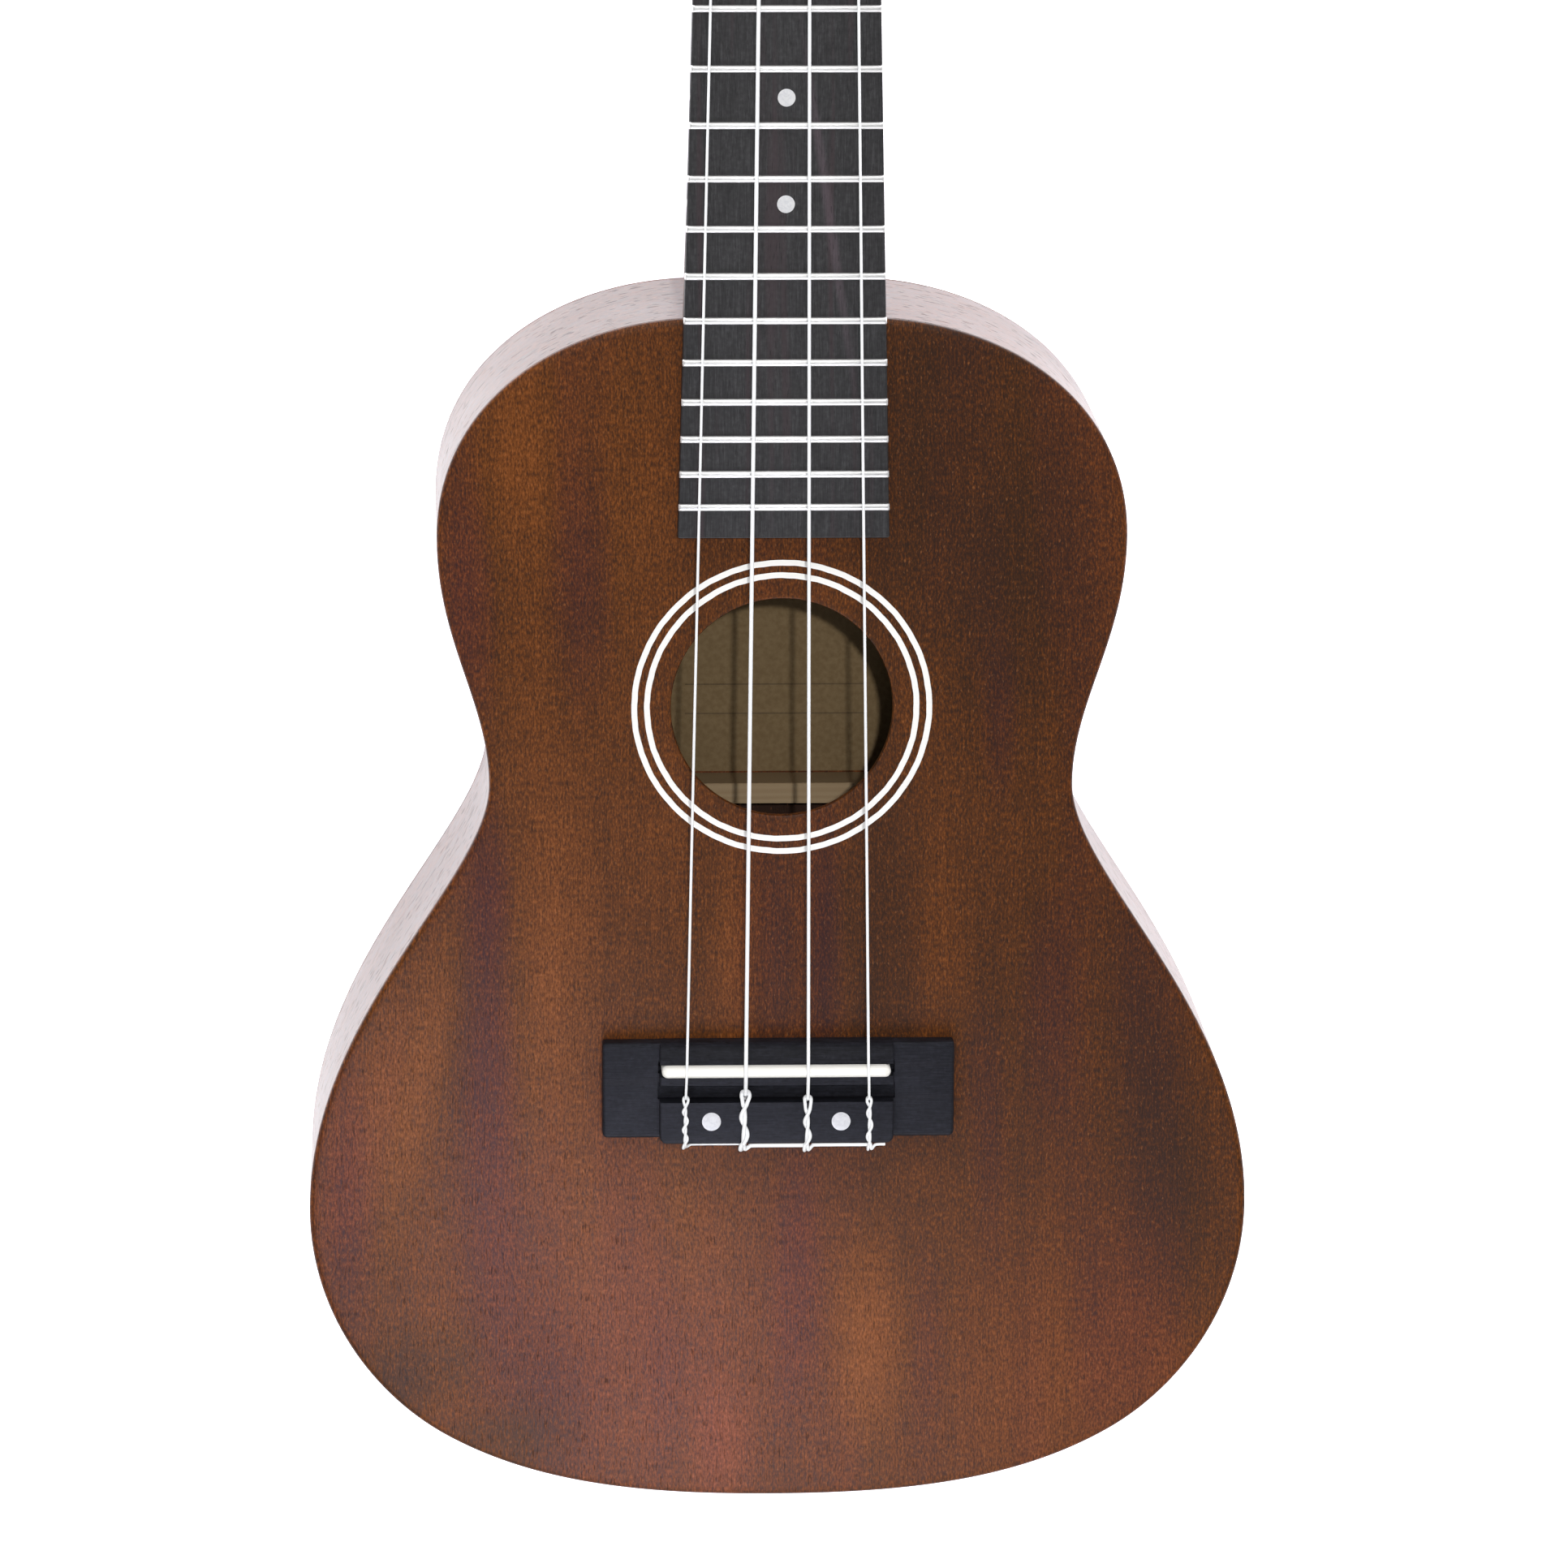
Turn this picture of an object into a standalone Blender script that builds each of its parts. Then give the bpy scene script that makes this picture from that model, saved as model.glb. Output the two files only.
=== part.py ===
"""Concert ukulele, 380 mm scale, fourteen frets to the body.

The instrument lies on its back. Metres, +Z up. The origin is on the outer face of the
back, on the centre line, right under the theoretical saddle line. +Y runs towards the
headstock and +X towards the treble (A string) side.
"""
import bpy
import bmesh
import math
from mathutils import Matrix, Vector

MM = 0.001

# ---------------------------------------------------------------- driving dimensions (mm)
SCALE = 380.0             # nut to theoretical saddle line
DEPTH = 57.0              # back's outer face to soundboard's outer face
TOP_T = 2.0               # soundboard thickness
BACK_T = 2.0              # back thickness
RIB_T = 1.8               # bent sides
GAP = 0.3                 # glue gap kept between touching pieces

# body outline, right half, tail to neck end: node positions and handle lengths
TAIL_Y, TAIL_H = -107.7, 29.3
HIP_X, HIP_Y, HIP_ANGLE, HIP_IN, HIP_OUT = 76.6, -92.75, 0.526, 24.8, 19.7
LOWER_X, LOWER_Y, LOWER_DOWN, LOWER_UP = 107.8, -38.5, 24.2, 46.5
WAIST_X, WAIST_Y, WAIST_DOWN, WAIST_UP = 66.4, 61.7, 22.2, 19.1
UPPER_X, UPPER_Y, UPPER_DOWN, UPPER_UP = 78.1, 118.8, 23.9, 32.5
NECK_END_Y, NECK_END_H, NECK_END_FLAT = 169.0, 48.3, 18.0

# sound hole
HOLE_Y, HOLE_R = 79.7, 25.2

# fretboard and frets
BOARD_END_Y = 119.7       # end over the soundboard
BOARD_W_NUT = 35.3        # width at the nut
BOARD_TAPER = 0.0476      # width gained per mm towards the body
BOARD_TOP = 4.2           # above the soundboard plane
FRETS = 19
CROWN_W, CROWN_H = 1.7, 0.7
TANG_W, TANG_D = 0.5, 1.7

# neck and headstock
NECK_D_NUT, NECK_D_HEEL = 16.5, 18.5
HEEL_DEPTH = 50.0
HEAD_TILT = math.radians(12.0)
HEAD_START_Y = 385.3      # where the headstock face starts, behind the nut
HEAD_T = 12.5
HEAD_LEN = 130.0
VENEER_T = 0.8

# nut, saddle and bridge
NUT_T = 4.8
NUT_TOP = 5.0             # above the soundboard plane
SADDLE_Y, SADDLE_L, SADDLE_T = -3.45, 52.3, 2.7
SADDLE_TOP = 10.1
BRIDGE_X, BRIDGE_HALF, BLOCK_HALF = -0.95, 40.25, 26.75
WING_X, SADDLE_X = -0.45, -1.15
BRIDGE_FRONT, WING_REAR, BLOCK_REAR = 2.3, -20.1, -20.7
TRENCH_FRONT, TRENCH_REAR = -6.9, -10.95
WING_H, BLOCK_H, TRENCH_H = 4.8, 8.2, 3.2
TIE_HOLE_Z = 4.7

# strings: name, x at the saddle line, radius
STRINGS = (("string_g", -21.65, 0.31), ("string_c", -8.2, 0.46),
           ("string_e", 6.05, 0.40), ("string_a", 19.8, 0.33))
STRING_CONVERGE = 0.3294  # share of the spread lost between saddle and nut
STRING_Z_SADDLE, STRING_Z_NUT = 10.95, 5.8

# tuning machines
POST_U = 17.0             # post axis from the centre line
POST_V = (36.0, 78.0)     # post axes from the start of the headstock
POST_R, WAIST_R, POST_TOP = 3.0, 2.5, 14.0
WIND_W = 8.4              # string height on the post, above the headstock core
GEAR_TEETH = 14
MODULE = 0.74
GEAR_T = 3.0
WORM_DIST = 7.85          # worm axis to post axis
WORM_OUT, WORM_ROOT, WORM_LEN = 2.9, 1.7, 7.4
WORM_SHAFT_R = 1.5
PLATE_T = 1.0
BUTTON_START, BUTTON_L, BUTTON_W, BUTTON_T = 14.6, 13.5, 15.5, 7.6

TOP_Z = DEPTH             # soundboard's outer plane
IN_LOW = BACK_T + GAP
IN_HIGH = DEPTH - TOP_T - GAP
LEAD = math.pi * MODULE
WORM_W = -HEAD_T - GAP - PLATE_T - 0.45 - WORM_OUT   # worm axis height, headstock frame

# ---------------------------------------------------------------- scene set-up
for ob in list(bpy.data.objects):
    bpy.data.objects.remove(ob, do_unlink=True)

parts = bpy.data.collections.new("concert_ukulele")
cutters = bpy.data.collections.new("cutters")
bpy.context.scene.collection.children.link(parts)
bpy.context.scene.collection.children.link(cutters)


def material(name, rgb, roughness, metallic=0.0):
    mat = bpy.data.materials.new(name)
    mat.use_nodes = True
    bsdf = mat.node_tree.nodes["Principled BSDF"]
    bsdf.inputs["Base Color"].default_value = (rgb[0], rgb[1], rgb[2], 1.0)
    bsdf.inputs["Roughness"].default_value = roughness
    bsdf.inputs["Metallic"].default_value = metallic
    mat.diffuse_color = (rgb[0], rgb[1], rgb[2], 1.0)
    return mat


MAHOGANY = (0.125, 0.045, 0.020)
SPRUCE = (0.55, 0.36, 0.18)
EBONY = (0.040, 0.038, 0.040)
BONE = (0.83, 0.82, 0.78)


def to_mesh(ob):
    """Turn a curve object into a mesh with its caps welded on."""
    dg = bpy.context.evaluated_depsgraph_get()
    me = bpy.data.meshes.new_from_object(ob.evaluated_get(dg))
    data = ob.data
    bpy.data.objects.remove(ob, do_unlink=True)
    bpy.data.curves.remove(data)
    bm = bmesh.new()
    bm.from_mesh(me)
    bmesh.ops.remove_doubles(bm, verts=bm.verts, dist=1e-6)
    bmesh.ops.recalc_face_normals(bm, faces=bm.faces)
    bm.to_mesh(me)
    bm.free()
    return me


def outline_mesh(name, loops, z0, z1):
    """Flat outline with optional holes, from z0 to z1 (mm), as a closed mesh."""
    cu = bpy.data.curves.new(name, "CURVE")
    cu.dimensions = "2D"
    cu.fill_mode = "BOTH"
    cu.extrude = (z1 - z0) / 2 * MM
    for pts in loops:
        sp = cu.splines.new("POLY")
        sp.points.add(len(pts) - 1)
        for p, (x, y) in zip(sp.points, pts):
            p.co = (x * MM, y * MM, 0.0, 1.0)
        sp.use_cyclic_u = True
    ob = bpy.data.objects.new(name, cu)
    bpy.context.scene.collection.objects.link(ob)
    me = to_mesh(ob)
    me.transform(Matrix.Translation((0, 0, (z0 + z1) / 2 * MM)))
    me.name = name
    return me


def side_mesh(name, pts, x0, x1):
    """Profile in the Y-Z plane, extruded along X from x0 to x1."""
    me = outline_mesh(name, [pts], x0, x1)
    me.transform(Matrix(((0, 0, 1, 0), (1, 0, 0, 0), (0, 1, 0, 0), (0, 0, 0, 1))))
    return me


def front_mesh(name, pts, y0, y1):
    """Profile in the X-Z plane, extruded along Y from y0 to y1."""
    me = outline_mesh(name, [pts], -y1, -y0)
    me.transform(Matrix(((1, 0, 0, 0), (0, 0, -1, 0), (0, 1, 0, 0), (0, 0, 0, 1))))
    return me


def box_mesh(name, lo, hi):
    bm = bmesh.new()
    bmesh.ops.create_cube(bm, size=1.0)
    for v in bm.verts:
        v.co = Vector([(a + b) / 2 + c * (b - a) for a, b, c in zip(lo, hi, v.co)]) * MM
    me = bpy.data.meshes.new(name)
    bm.to_mesh(me)
    bm.free()
    return me


def rod_mesh(name, radius, z0, z1, segments=24):
    bm = bmesh.new()
    bmesh.ops.create_cone(bm, cap_ends=True, segments=segments, radius1=radius * MM,
                          radius2=radius * MM, depth=(z1 - z0) * MM)
    bmesh.ops.translate(bm, verts=bm.verts, vec=(0, 0, (z0 + z1) / 2 * MM))
    me = bpy.data.meshes.new(name)
    bm.to_mesh(me)
    bm.free()
    return me


def ring_loft(name, rings):
    """Closed mesh over rings of equal length, capped at both ends."""
    bm = bmesh.new()
    rows = [[bm.verts.new(Vector(p) * MM) for p in ring] for ring in rings]
    n = len(rings[0])
    for a, b in zip(rows, rows[1:]):
        for i in range(n):
            bm.faces.new((a[i], a[(i + 1) % n], b[(i + 1) % n], b[i]))
    bm.faces.new(rows[0])
    bm.faces.new(rows[-1])
    bmesh.ops.recalc_face_normals(bm, faces=bm.faces)
    me = bpy.data.meshes.new(name)
    bm.to_mesh(me)
    bm.free()
    return me


def place(name, mesh, mat, parent=None, location=(0, 0, 0), smooth=None):
    ob = bpy.data.objects.new(name, mesh)
    parts.objects.link(ob)
    ob.location = [c * MM for c in location]
    if parent:
        ob.parent = parent
    if mesh.materials:
        mesh.materials.clear()
    mesh.materials.append(mat)
    if smooth is not None:
        mesh.shade_smooth()
        mesh.set_sharp_from_angle(angle=math.radians(smooth))
    return ob


def cutter(name, mesh, parent=None, location=(0, 0, 0)):
    ob = bpy.data.objects.new(name, mesh)
    cutters.objects.link(ob)
    ob.location = [c * MM for c in location]
    if parent:
        ob.parent = parent
    ob.hide_render = True
    ob.display_type = "WIRE"
    return ob


def boolean(ob, tool, operation="DIFFERENCE"):
    mod = ob.modifiers.new(operation.lower(), "BOOLEAN")
    mod.operation = operation
    mod.solver = "EXACT"
    mod.object = tool


def mirrored(mesh, side):
    """The same mesh for the treble side, its mirror image for the bass side."""
    me = mesh.copy()
    if side < 0:
        me.transform(Matrix.Diagonal((-1, 1, 1, 1)))
        me.flip_normals()
    return me


def bezier(p0, p1, p2, p3, t):
    s = 1 - t
    return tuple(s * s * s * a + 3 * s * s * t * b + 3 * s * t * t * c + t * t * t * d
                 for a, b, c, d in zip(p0, p1, p2, p3))


# ---------------------------------------------------------------- body outline
def half_outline():
    """Right half from the tail to the neck end: (x, y, outward normal x, y) in mm."""
    ca, sa = math.cos(HIP_ANGLE), math.sin(HIP_ANGLE)
    segs = (
        ((0, TAIL_Y), (TAIL_H, TAIL_Y),
         (HIP_X - ca * HIP_IN, HIP_Y - sa * HIP_IN), (HIP_X, HIP_Y), 11),
        ((HIP_X, HIP_Y), (HIP_X + ca * HIP_OUT, HIP_Y + sa * HIP_OUT),
         (LOWER_X, LOWER_Y - LOWER_DOWN), (LOWER_X, LOWER_Y), 10),
        ((LOWER_X, LOWER_Y), (LOWER_X, LOWER_Y + LOWER_UP),
         (WAIST_X, WAIST_Y - WAIST_DOWN), (WAIST_X, WAIST_Y), 12),
        ((WAIST_X, WAIST_Y), (WAIST_X, WAIST_Y + WAIST_UP),
         (UPPER_X, UPPER_Y - UPPER_DOWN), (UPPER_X, UPPER_Y), 7),
        ((UPPER_X, UPPER_Y), (UPPER_X, UPPER_Y + UPPER_UP),
         (NECK_END_H, NECK_END_Y), (NECK_END_FLAT, NECK_END_Y), 13),
    )
    pts = []
    for p0, p1, p2, p3, n in segs:
        for i in range(n):
            pts.append(bezier(p0, p1, p2, p3, i / n))
    pts.append((NECK_END_FLAT, NECK_END_Y))
    pts.append((0.0, NECK_END_Y))
    out = []
    for i, p in enumerate(pts):
        a = pts[max(i - 1, 0)]
        b = pts[min(i + 1, len(pts) - 1)]
        tx, ty = b[0] - a[0], b[1] - a[1]
        if i == 0:
            tx, ty = 1.0, 0.0
        if i >= len(pts) - 2:
            tx, ty = -1.0, 0.0
        ln = math.hypot(tx, ty)
        out.append((p[0], p[1], ty / ln, -tx / ln))
    return out


HALF = half_outline()


def inset(d, side=1):
    return [(side * (x - nx * d), y - ny * d) for x, y, nx, ny in HALF]


def full_outline(d=0.0):
    right = inset(d)
    return right + [(-x, y) for x, y in reversed(right[1:-1])]


def band(d0, d1, side, keep=lambda x, y: True):
    """Strip between two insets of the half outline, on one side."""
    pick = [i for i, (x, y, _, _) in enumerate(HALF) if keep(x, y)]
    a = [inset(d0, side)[i] for i in pick]
    b = [inset(d1, side)[i] for i in pick]
    if not pick or pick[0] == 0:
        a[0] = (side * GAP / 2, a[0][1])
        b[0] = (side * GAP / 2, b[0][1])
    if pick[-1] == len(HALF) - 1:
        a[-1] = (side * GAP / 2, a[-1][1])
        b[-1] = (side * GAP / 2, b[-1][1])
    return a + b[::-1]


def circle(cx, cy, r, n):
    return [(cx + r * math.cos(2 * math.pi * i / n), cy + r * math.sin(2 * math.pi * i / n))
            for i in range(n)]


wood_top = material("mahogany_top", MAHOGANY, 0.45)
wood_side = material("mahogany_side", MAHOGANY, 0.45)
wood_neck = material("neck_wood", (0.15, 0.055, 0.026), 0.45)
wood_inner = material("inner_wood", SPRUCE, 0.7)

place("soundboard", outline_mesh("soundboard", [full_outline(), circle(0, HOLE_Y, HOLE_R, 48)],
                                 DEPTH - TOP_T, DEPTH), wood_top)
place("back_plate", outline_mesh("back_plate", [full_outline()], 0, BACK_T),
      material("mahogany_back", MAHOGANY, 0.45))
for nm, sd in (("rib_bass", -1), ("rib_treble", 1)):
    place(nm, outline_mesh(nm, [band(0, RIB_T, sd)], IN_LOW, IN_HIGH),
          wood_side if sd > 0 else material("mahogany_side_bass", MAHOGANY, 0.45))

# blocks, shaped to the inside of the bent sides
BLOCK_NECK_X, BLOCK_TAIL_X = 27.0, 25.0
fit = RIB_T + GAP


def block_loop(keep, y_flat):
    right = [p for p, h in zip(inset(fit), HALF) if keep(h[0], h[1])]
    if right[0][1] > 0:
        right = right[::-1]
    loop = [(-x, y) for x, y in reversed(right[1:])] + right
    return loop + [(right[-1][0], y_flat), (-right[-1][0], y_flat)]


place("neck_block", outline_mesh("neck_block",
      [block_loop(lambda x, y: y > 100 and x < BLOCK_NECK_X, 146.0)], IN_LOW, IN_HIGH),
      material("neck_block_wood", SPRUCE, 0.7))
place("tail_block", outline_mesh("tail_block",
      [block_loop(lambda x, y: y < -100 and x < BLOCK_TAIL_X, -95.0)], IN_LOW, IN_HIGH),
      material("tail_block_wood", SPRUCE, 0.7))


def lining_keep(x, y):
    if y > 100:
        return x > BLOCK_NECK_X + 1
    if y < -100:
        return x > BLOCK_TAIL_X + 4
    return True


LINING_T, LINING_H = 4.5, 6.0
for nm, sd, lo in (("lining_top_bass", -1, IN_HIGH - LINING_H), ("lining_top_treble", 1, IN_HIGH - LINING_H),
                   ("lining_back_bass", -1, IN_LOW), ("lining_back_treble", 1, IN_LOW)):
    place(nm, outline_mesh(nm, [band(fit, fit + LINING_T, sd, lining_keep)], lo, lo + LINING_H),
          material(nm + "_wood", SPRUCE, 0.75))


def brace(name, y0, y1, half, height, on_top):
    """Cross brace glued to a plate, its ends carved down."""
    low, high = (IN_HIGH - height, IN_HIGH) if on_top else (IN_LOW, IN_LOW + height)
    base, crest = (high, low) if on_top else (low, high)
    thin = base + (crest - base) * 0.3
    pts = [(-half, base), (half, base), (half, thin), (half - 22, crest), (-half + 22, crest), (-half, thin)]
    place(name, front_mesh(name, pts, y0, y1), material(name + "_wood", SPRUCE, 0.7))


brace("top_brace_upper", 108.5, 114.5, 70.0, 8.0, True)
brace("top_brace_lower", 39.0, 45.0, 63.0, 8.0, True)
brace("back_brace_upper", 120.0, 126.0, 70.0, 8.0, False)
brace("back_brace_lower", 47.0, 51.8, 61.0, 11.0, False)
place("bridge_patch", outline_mesh("bridge_patch",
      [[(-46, -25), (46, -25), (46, 7), (-46, 7)]], IN_HIGH - 2.0, IN_HIGH),
      material("patch_wood", SPRUCE, 0.7))


# ---------------------------------------------------------------- headstock frame
head = bpy.data.objects.new("headstock_frame", None)
parts.objects.link(head)
head.location = (0, HEAD_START_Y * MM, TOP_Z * MM)
head.rotation_euler = (-HEAD_TILT, 0, 0)
bpy.context.view_layer.update()


def head_half():
    """Right half of the headstock outline in its own plane: (u, v) in mm."""
    segs = (
        ((BOARD_W_NUT / 2, 1.0), (BOARD_W_NUT / 2 + 0.2, 9.0), (23.6, 14.0), (26.2, 23.0), 6),
        ((26.2, 23.0), (28.6, 31.5), (28.2, 80.0), (30.0, 106.0), 4),
        ((30.0, 106.0), (30.9, 119.0), (27.0, 124.5), (20.0, 126.5), 6),
        ((20.0, 126.5), (13.0, 128.5), (7.0, HEAD_LEN), (0.0, HEAD_LEN), 4),
    )
    pts = [(BOARD_W_NUT / 2, -8.0)]
    for p0, p1, p2, p3, n in segs:
        for i in range(n):
            pts.append(bezier(p0, p1, p2, p3, i / n))
    pts.append((0.0, HEAD_LEN))
    return pts


def head_outline(v_min, d=0.0):
    right = [(x - d if x > d else x, y - (d if y > 100 else 0)) for x, y in head_half() if y > v_min]
    right = [(BOARD_W_NUT / 2 - d, v_min)] + right
    return right + [(-x, y) for x, y in reversed(right[:-1])]


# ---------------------------------------------------------------- neck
def board_half(y):
    return (BOARD_W_NUT + (SCALE - y) * BOARD_TAPER) / 2


def neck_stations():
    """(y, half width, top z, depth) from the body joint to under the headstock."""
    y0 = NECK_END_Y + GAP
    deep = HEEL_DEPTH + 7.0
    flat = [(y0, deep), (y0 + 5, deep - 0.3), (y0 + 9, deep - 1.2)]
    d_end = NECK_D_HEEL - 0.3
    curve = [bezier((y0 + 12, deep - 3.0), (y0 + 20, deep - 14), (y0 + 17, d_end + 2.5), (y0 + 50, d_end), i / 7)
             for i in range(8)]
    out = [(y, board_half(y) - 0.15, TOP_Z, d) for y, d in flat + curve]
    y_last = out[-1][0]
    for i in range(1, 4):
        t = i / 3
        y = y_last + (376 - y_last) * t
        out.append((y, board_half(y) - 0.15, TOP_Z, d_end + (NECK_D_NUT - d_end) * t))
    for y, d in ((384.9, NECK_D_NUT - 0.1), (392.0, NECK_D_NUT - 1.9), (399.0, NECK_D_NUT - 4.2), (404.0, 9.0)):
        drop = max(0.0, (y - HEAD_START_Y)) * math.tan(HEAD_TILT) + (0.4 if y > HEAD_START_Y else 0.0)
        out.append((y, BOARD_W_NUT / 2 - 0.15 - (0.25 if y > HEAD_START_Y else 0.0), TOP_Z - drop, d))
    return out


def neck_section(y, hw, top, depth, n=12):
    ring = []
    for i in range(n + 1):
        a = math.pi * i / n
        c, s = math.cos(a), math.sin(a)
        ring.append((math.copysign(abs(c) ** 0.86, c) * hw, y, top - depth * s ** 0.92))
    return ring


neck = place("neck", ring_loft("neck", [neck_section(*s) for s in neck_stations()]), wood_neck)
head_block = cutter("headstock_blank", outline_mesh("headstock_blank", [head_outline(0.3)], -HEAD_T, 0.0), head)
boolean(neck, head_block, "UNION")
boolean(neck, cutter("heel_cap_cut", box_mesh("heel_cap_cut", (-40, NECK_END_Y - 5, -20),
                                              (40, NECK_END_Y + 60, TOP_Z - HEEL_DEPTH))))
post_holes = bmesh.new()
for su in (-1, 1):
    for v in POST_V:
        bmesh.ops.create_cone(post_holes, cap_ends=True, segments=14, radius1=4.0 * MM, radius2=4.0 * MM,
                              depth=30 * MM, matrix=Matrix.Translation((su * POST_U * MM, v * MM, -6 * MM)))
me = bpy.data.meshes.new("post_holes")
post_holes.to_mesh(me)
post_holes.free()
hole_tool = cutter("post_holes", me, head)
boolean(neck, hole_tool)

veneer = place("headstock_veneer", outline_mesh("headstock_veneer", [head_outline(0.4, 0.1)], GAP, GAP + VENEER_T),
               material("veneer", EBONY, 0.4), head)
boolean(veneer, hole_tool)


# ---------------------------------------------------------------- fretboard and frets
def fret_y(n):
    return SCALE / 2 ** (n / 12)


board = place("fretboard", outline_mesh("fretboard",
              [[(board_half(BOARD_END_Y), BOARD_END_Y), (board_half(SCALE), SCALE),
                (-board_half(SCALE), SCALE), (-board_half(BOARD_END_Y), BOARD_END_Y)]],
              TOP_Z + GAP, TOP_Z + BOARD_TOP), material("fretboard_wood", EBONY, 0.5))
slots = bmesh.new()
for n in range(1, FRETS + 1):
    y = fret_y(n)
    lo = Vector((-30, y - TANG_W / 2 - GAP, TOP_Z + BOARD_TOP - TANG_D))
    hi = Vector((30, y + TANG_W / 2 + GAP, TOP_Z + BOARD_TOP + 2))
    m = Matrix.Translation((lo + hi) / 2 * MM) @ Matrix.Diagonal(Vector((*(hi - lo), 1000.0)) * MM)
    bmesh.ops.create_cube(slots, size=1.0, matrix=m)
me = bpy.data.meshes.new("fret_slots")
slots.to_mesh(me)
slots.free()
boolean(board, cutter("fret_slots", me))

fret_mat = material("nickel_silver", (0.75, 0.74, 0.72), 0.25, 1.0)
for n in range(1, FRETS + 1):
    y = fret_y(n)
    z = TOP_Z + BOARD_TOP + GAP
    prof = [(y + TANG_W / 2, z), (y + TANG_W / 2, z - TANG_D + GAP), (y - TANG_W / 2, z - TANG_D + GAP),
            (y - TANG_W / 2, z)]
    prof += [(y - CROWN_W / 2 * math.cos(math.pi * i / 6), z + CROWN_H * math.sin(math.pi * i / 6))
             for i in range(7)]
    half = board_half(y) - 0.05
    place("fret_%02d" % n, side_mesh("fret_%02d" % n, prof, -half, half), fret_mat)

# ---------------------------------------------------------------- nut, bridge and saddle
nut_half = BOARD_W_NUT / 2 - 0.05
nut_low = TOP_Z + GAP
nut_prof = [(SCALE + GAP, nut_low), (SCALE + GAP + NUT_T - 0.3, nut_low),
            (SCALE + GAP + NUT_T - 0.3, TOP_Z + NUT_TOP - 1.6), (SCALE + GAP + NUT_T - 1.4, TOP_Z + NUT_TOP - 0.5),
            (SCALE + GAP + 1.2, TOP_Z + NUT_TOP), (SCALE + GAP, TOP_Z + NUT_TOP)]
place("nut", side_mesh("nut", nut_prof, -nut_half, nut_half), material("bone_nut", BONE, 0.35))

b0 = TOP_Z + GAP
block_prof = [(BRIDGE_FRONT, b0), (BRIDGE_FRONT, TOP_Z + 4.3), (BRIDGE_FRONT - 0.6, TOP_Z + 5.6),
              (BRIDGE_FRONT - 1.9, TOP_Z + 7.0), (BRIDGE_FRONT - 3.3, TOP_Z + 7.8), (-2.0, TOP_Z + BLOCK_H),
              (TRENCH_FRONT, TOP_Z + BLOCK_H), (TRENCH_FRONT, TOP_Z + TRENCH_H), (TRENCH_REAR, TOP_Z + TRENCH_H),
              (TRENCH_REAR, TOP_Z + BLOCK_H), (BLOCK_REAR + 0.8, TOP_Z + BLOCK_H), (BLOCK_REAR, TOP_Z + BLOCK_H - 0.8),
              (BLOCK_REAR, b0)]
bridge = place("bridge", side_mesh("bridge", block_prof, BRIDGE_X - BLOCK_HALF, BRIDGE_X + BLOCK_HALF),
               material("bridge_wood", EBONY, 0.45))
wing_prof = [(BRIDGE_FRONT - 0.1, b0), (BRIDGE_FRONT - 0.1, TOP_Z + WING_H - 0.7), (BRIDGE_FRONT - 0.9, TOP_Z + WING_H),
             (WING_REAR + 0.8, TOP_Z + WING_H), (WING_REAR, TOP_Z + WING_H - 0.7), (WING_REAR, b0)]
boolean(bridge, cutter("bridge_wings", side_mesh("bridge_wings", wing_prof, WING_X - BRIDGE_HALF - 0.5,
                                              WING_X + BRIDGE_HALF + 0.5)), "UNION")
# plan of the whole bridge: rounded wing tips and a small step out to the tie block's rear edge
wl, wr, bl, br = WING_X - BRIDGE_HALF, WING_X + BRIDGE_HALF, BRIDGE_X - BLOCK_HALF, BRIDGE_X + BLOCK_HALF
wy, by, tip = WING_REAR + 0.01, BLOCK_REAR + 0.01, 1.2
plan = [(wr, BRIDGE_FRONT + 1), (wl, BRIDGE_FRONT + 1)]
plan += [(wl + tip - tip * math.cos(a), wy + tip - tip * math.sin(a)) for a in (math.pi * i / 10 for i in range(6))]
plan += [(bl, wy), (bl + 0.4, wy - 0.3), (bl + 1.0, by + 0.1), (bl + 1.8, by),
         (br - 1.8, by), (br - 1.0, by + 0.1), (br - 0.4, wy - 0.3), (br, wy)]
plan += [(wr - tip + tip * math.sin(a), wy + tip - tip * math.cos(a)) for a in (math.pi * i / 10 for i in range(6))]
boolean(bridge, cutter("bridge_plan", outline_mesh("bridge_plan", [plan], TOP_Z - 1, TOP_Z + 20)), "INTERSECT")
trench = [(TRENCH_FRONT, TOP_Z + TRENCH_H), (TRENCH_REAR, TOP_Z + TRENCH_H), (TRENCH_REAR, TOP_Z + BLOCK_H + 5),
          (TRENCH_FRONT, TOP_Z + BLOCK_H + 5)]
boolean(bridge, cutter("trench_cut", side_mesh("trench_cut", trench, BRIDGE_X - BLOCK_HALF - 0.2,
                                            BRIDGE_X + BLOCK_HALF + 0.2)))


def stadium(cx, cy, length, width, n=8):
    r = width / 2
    s = length / 2 - r
    right = [(cx + s + r * math.cos(a), cy + r * math.sin(a))
             for a in (math.pi * (i / n - 0.5) for i in range(n + 1))]
    return right + [(2 * cx - x, 2 * cy - y) for x, y in right]


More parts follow.
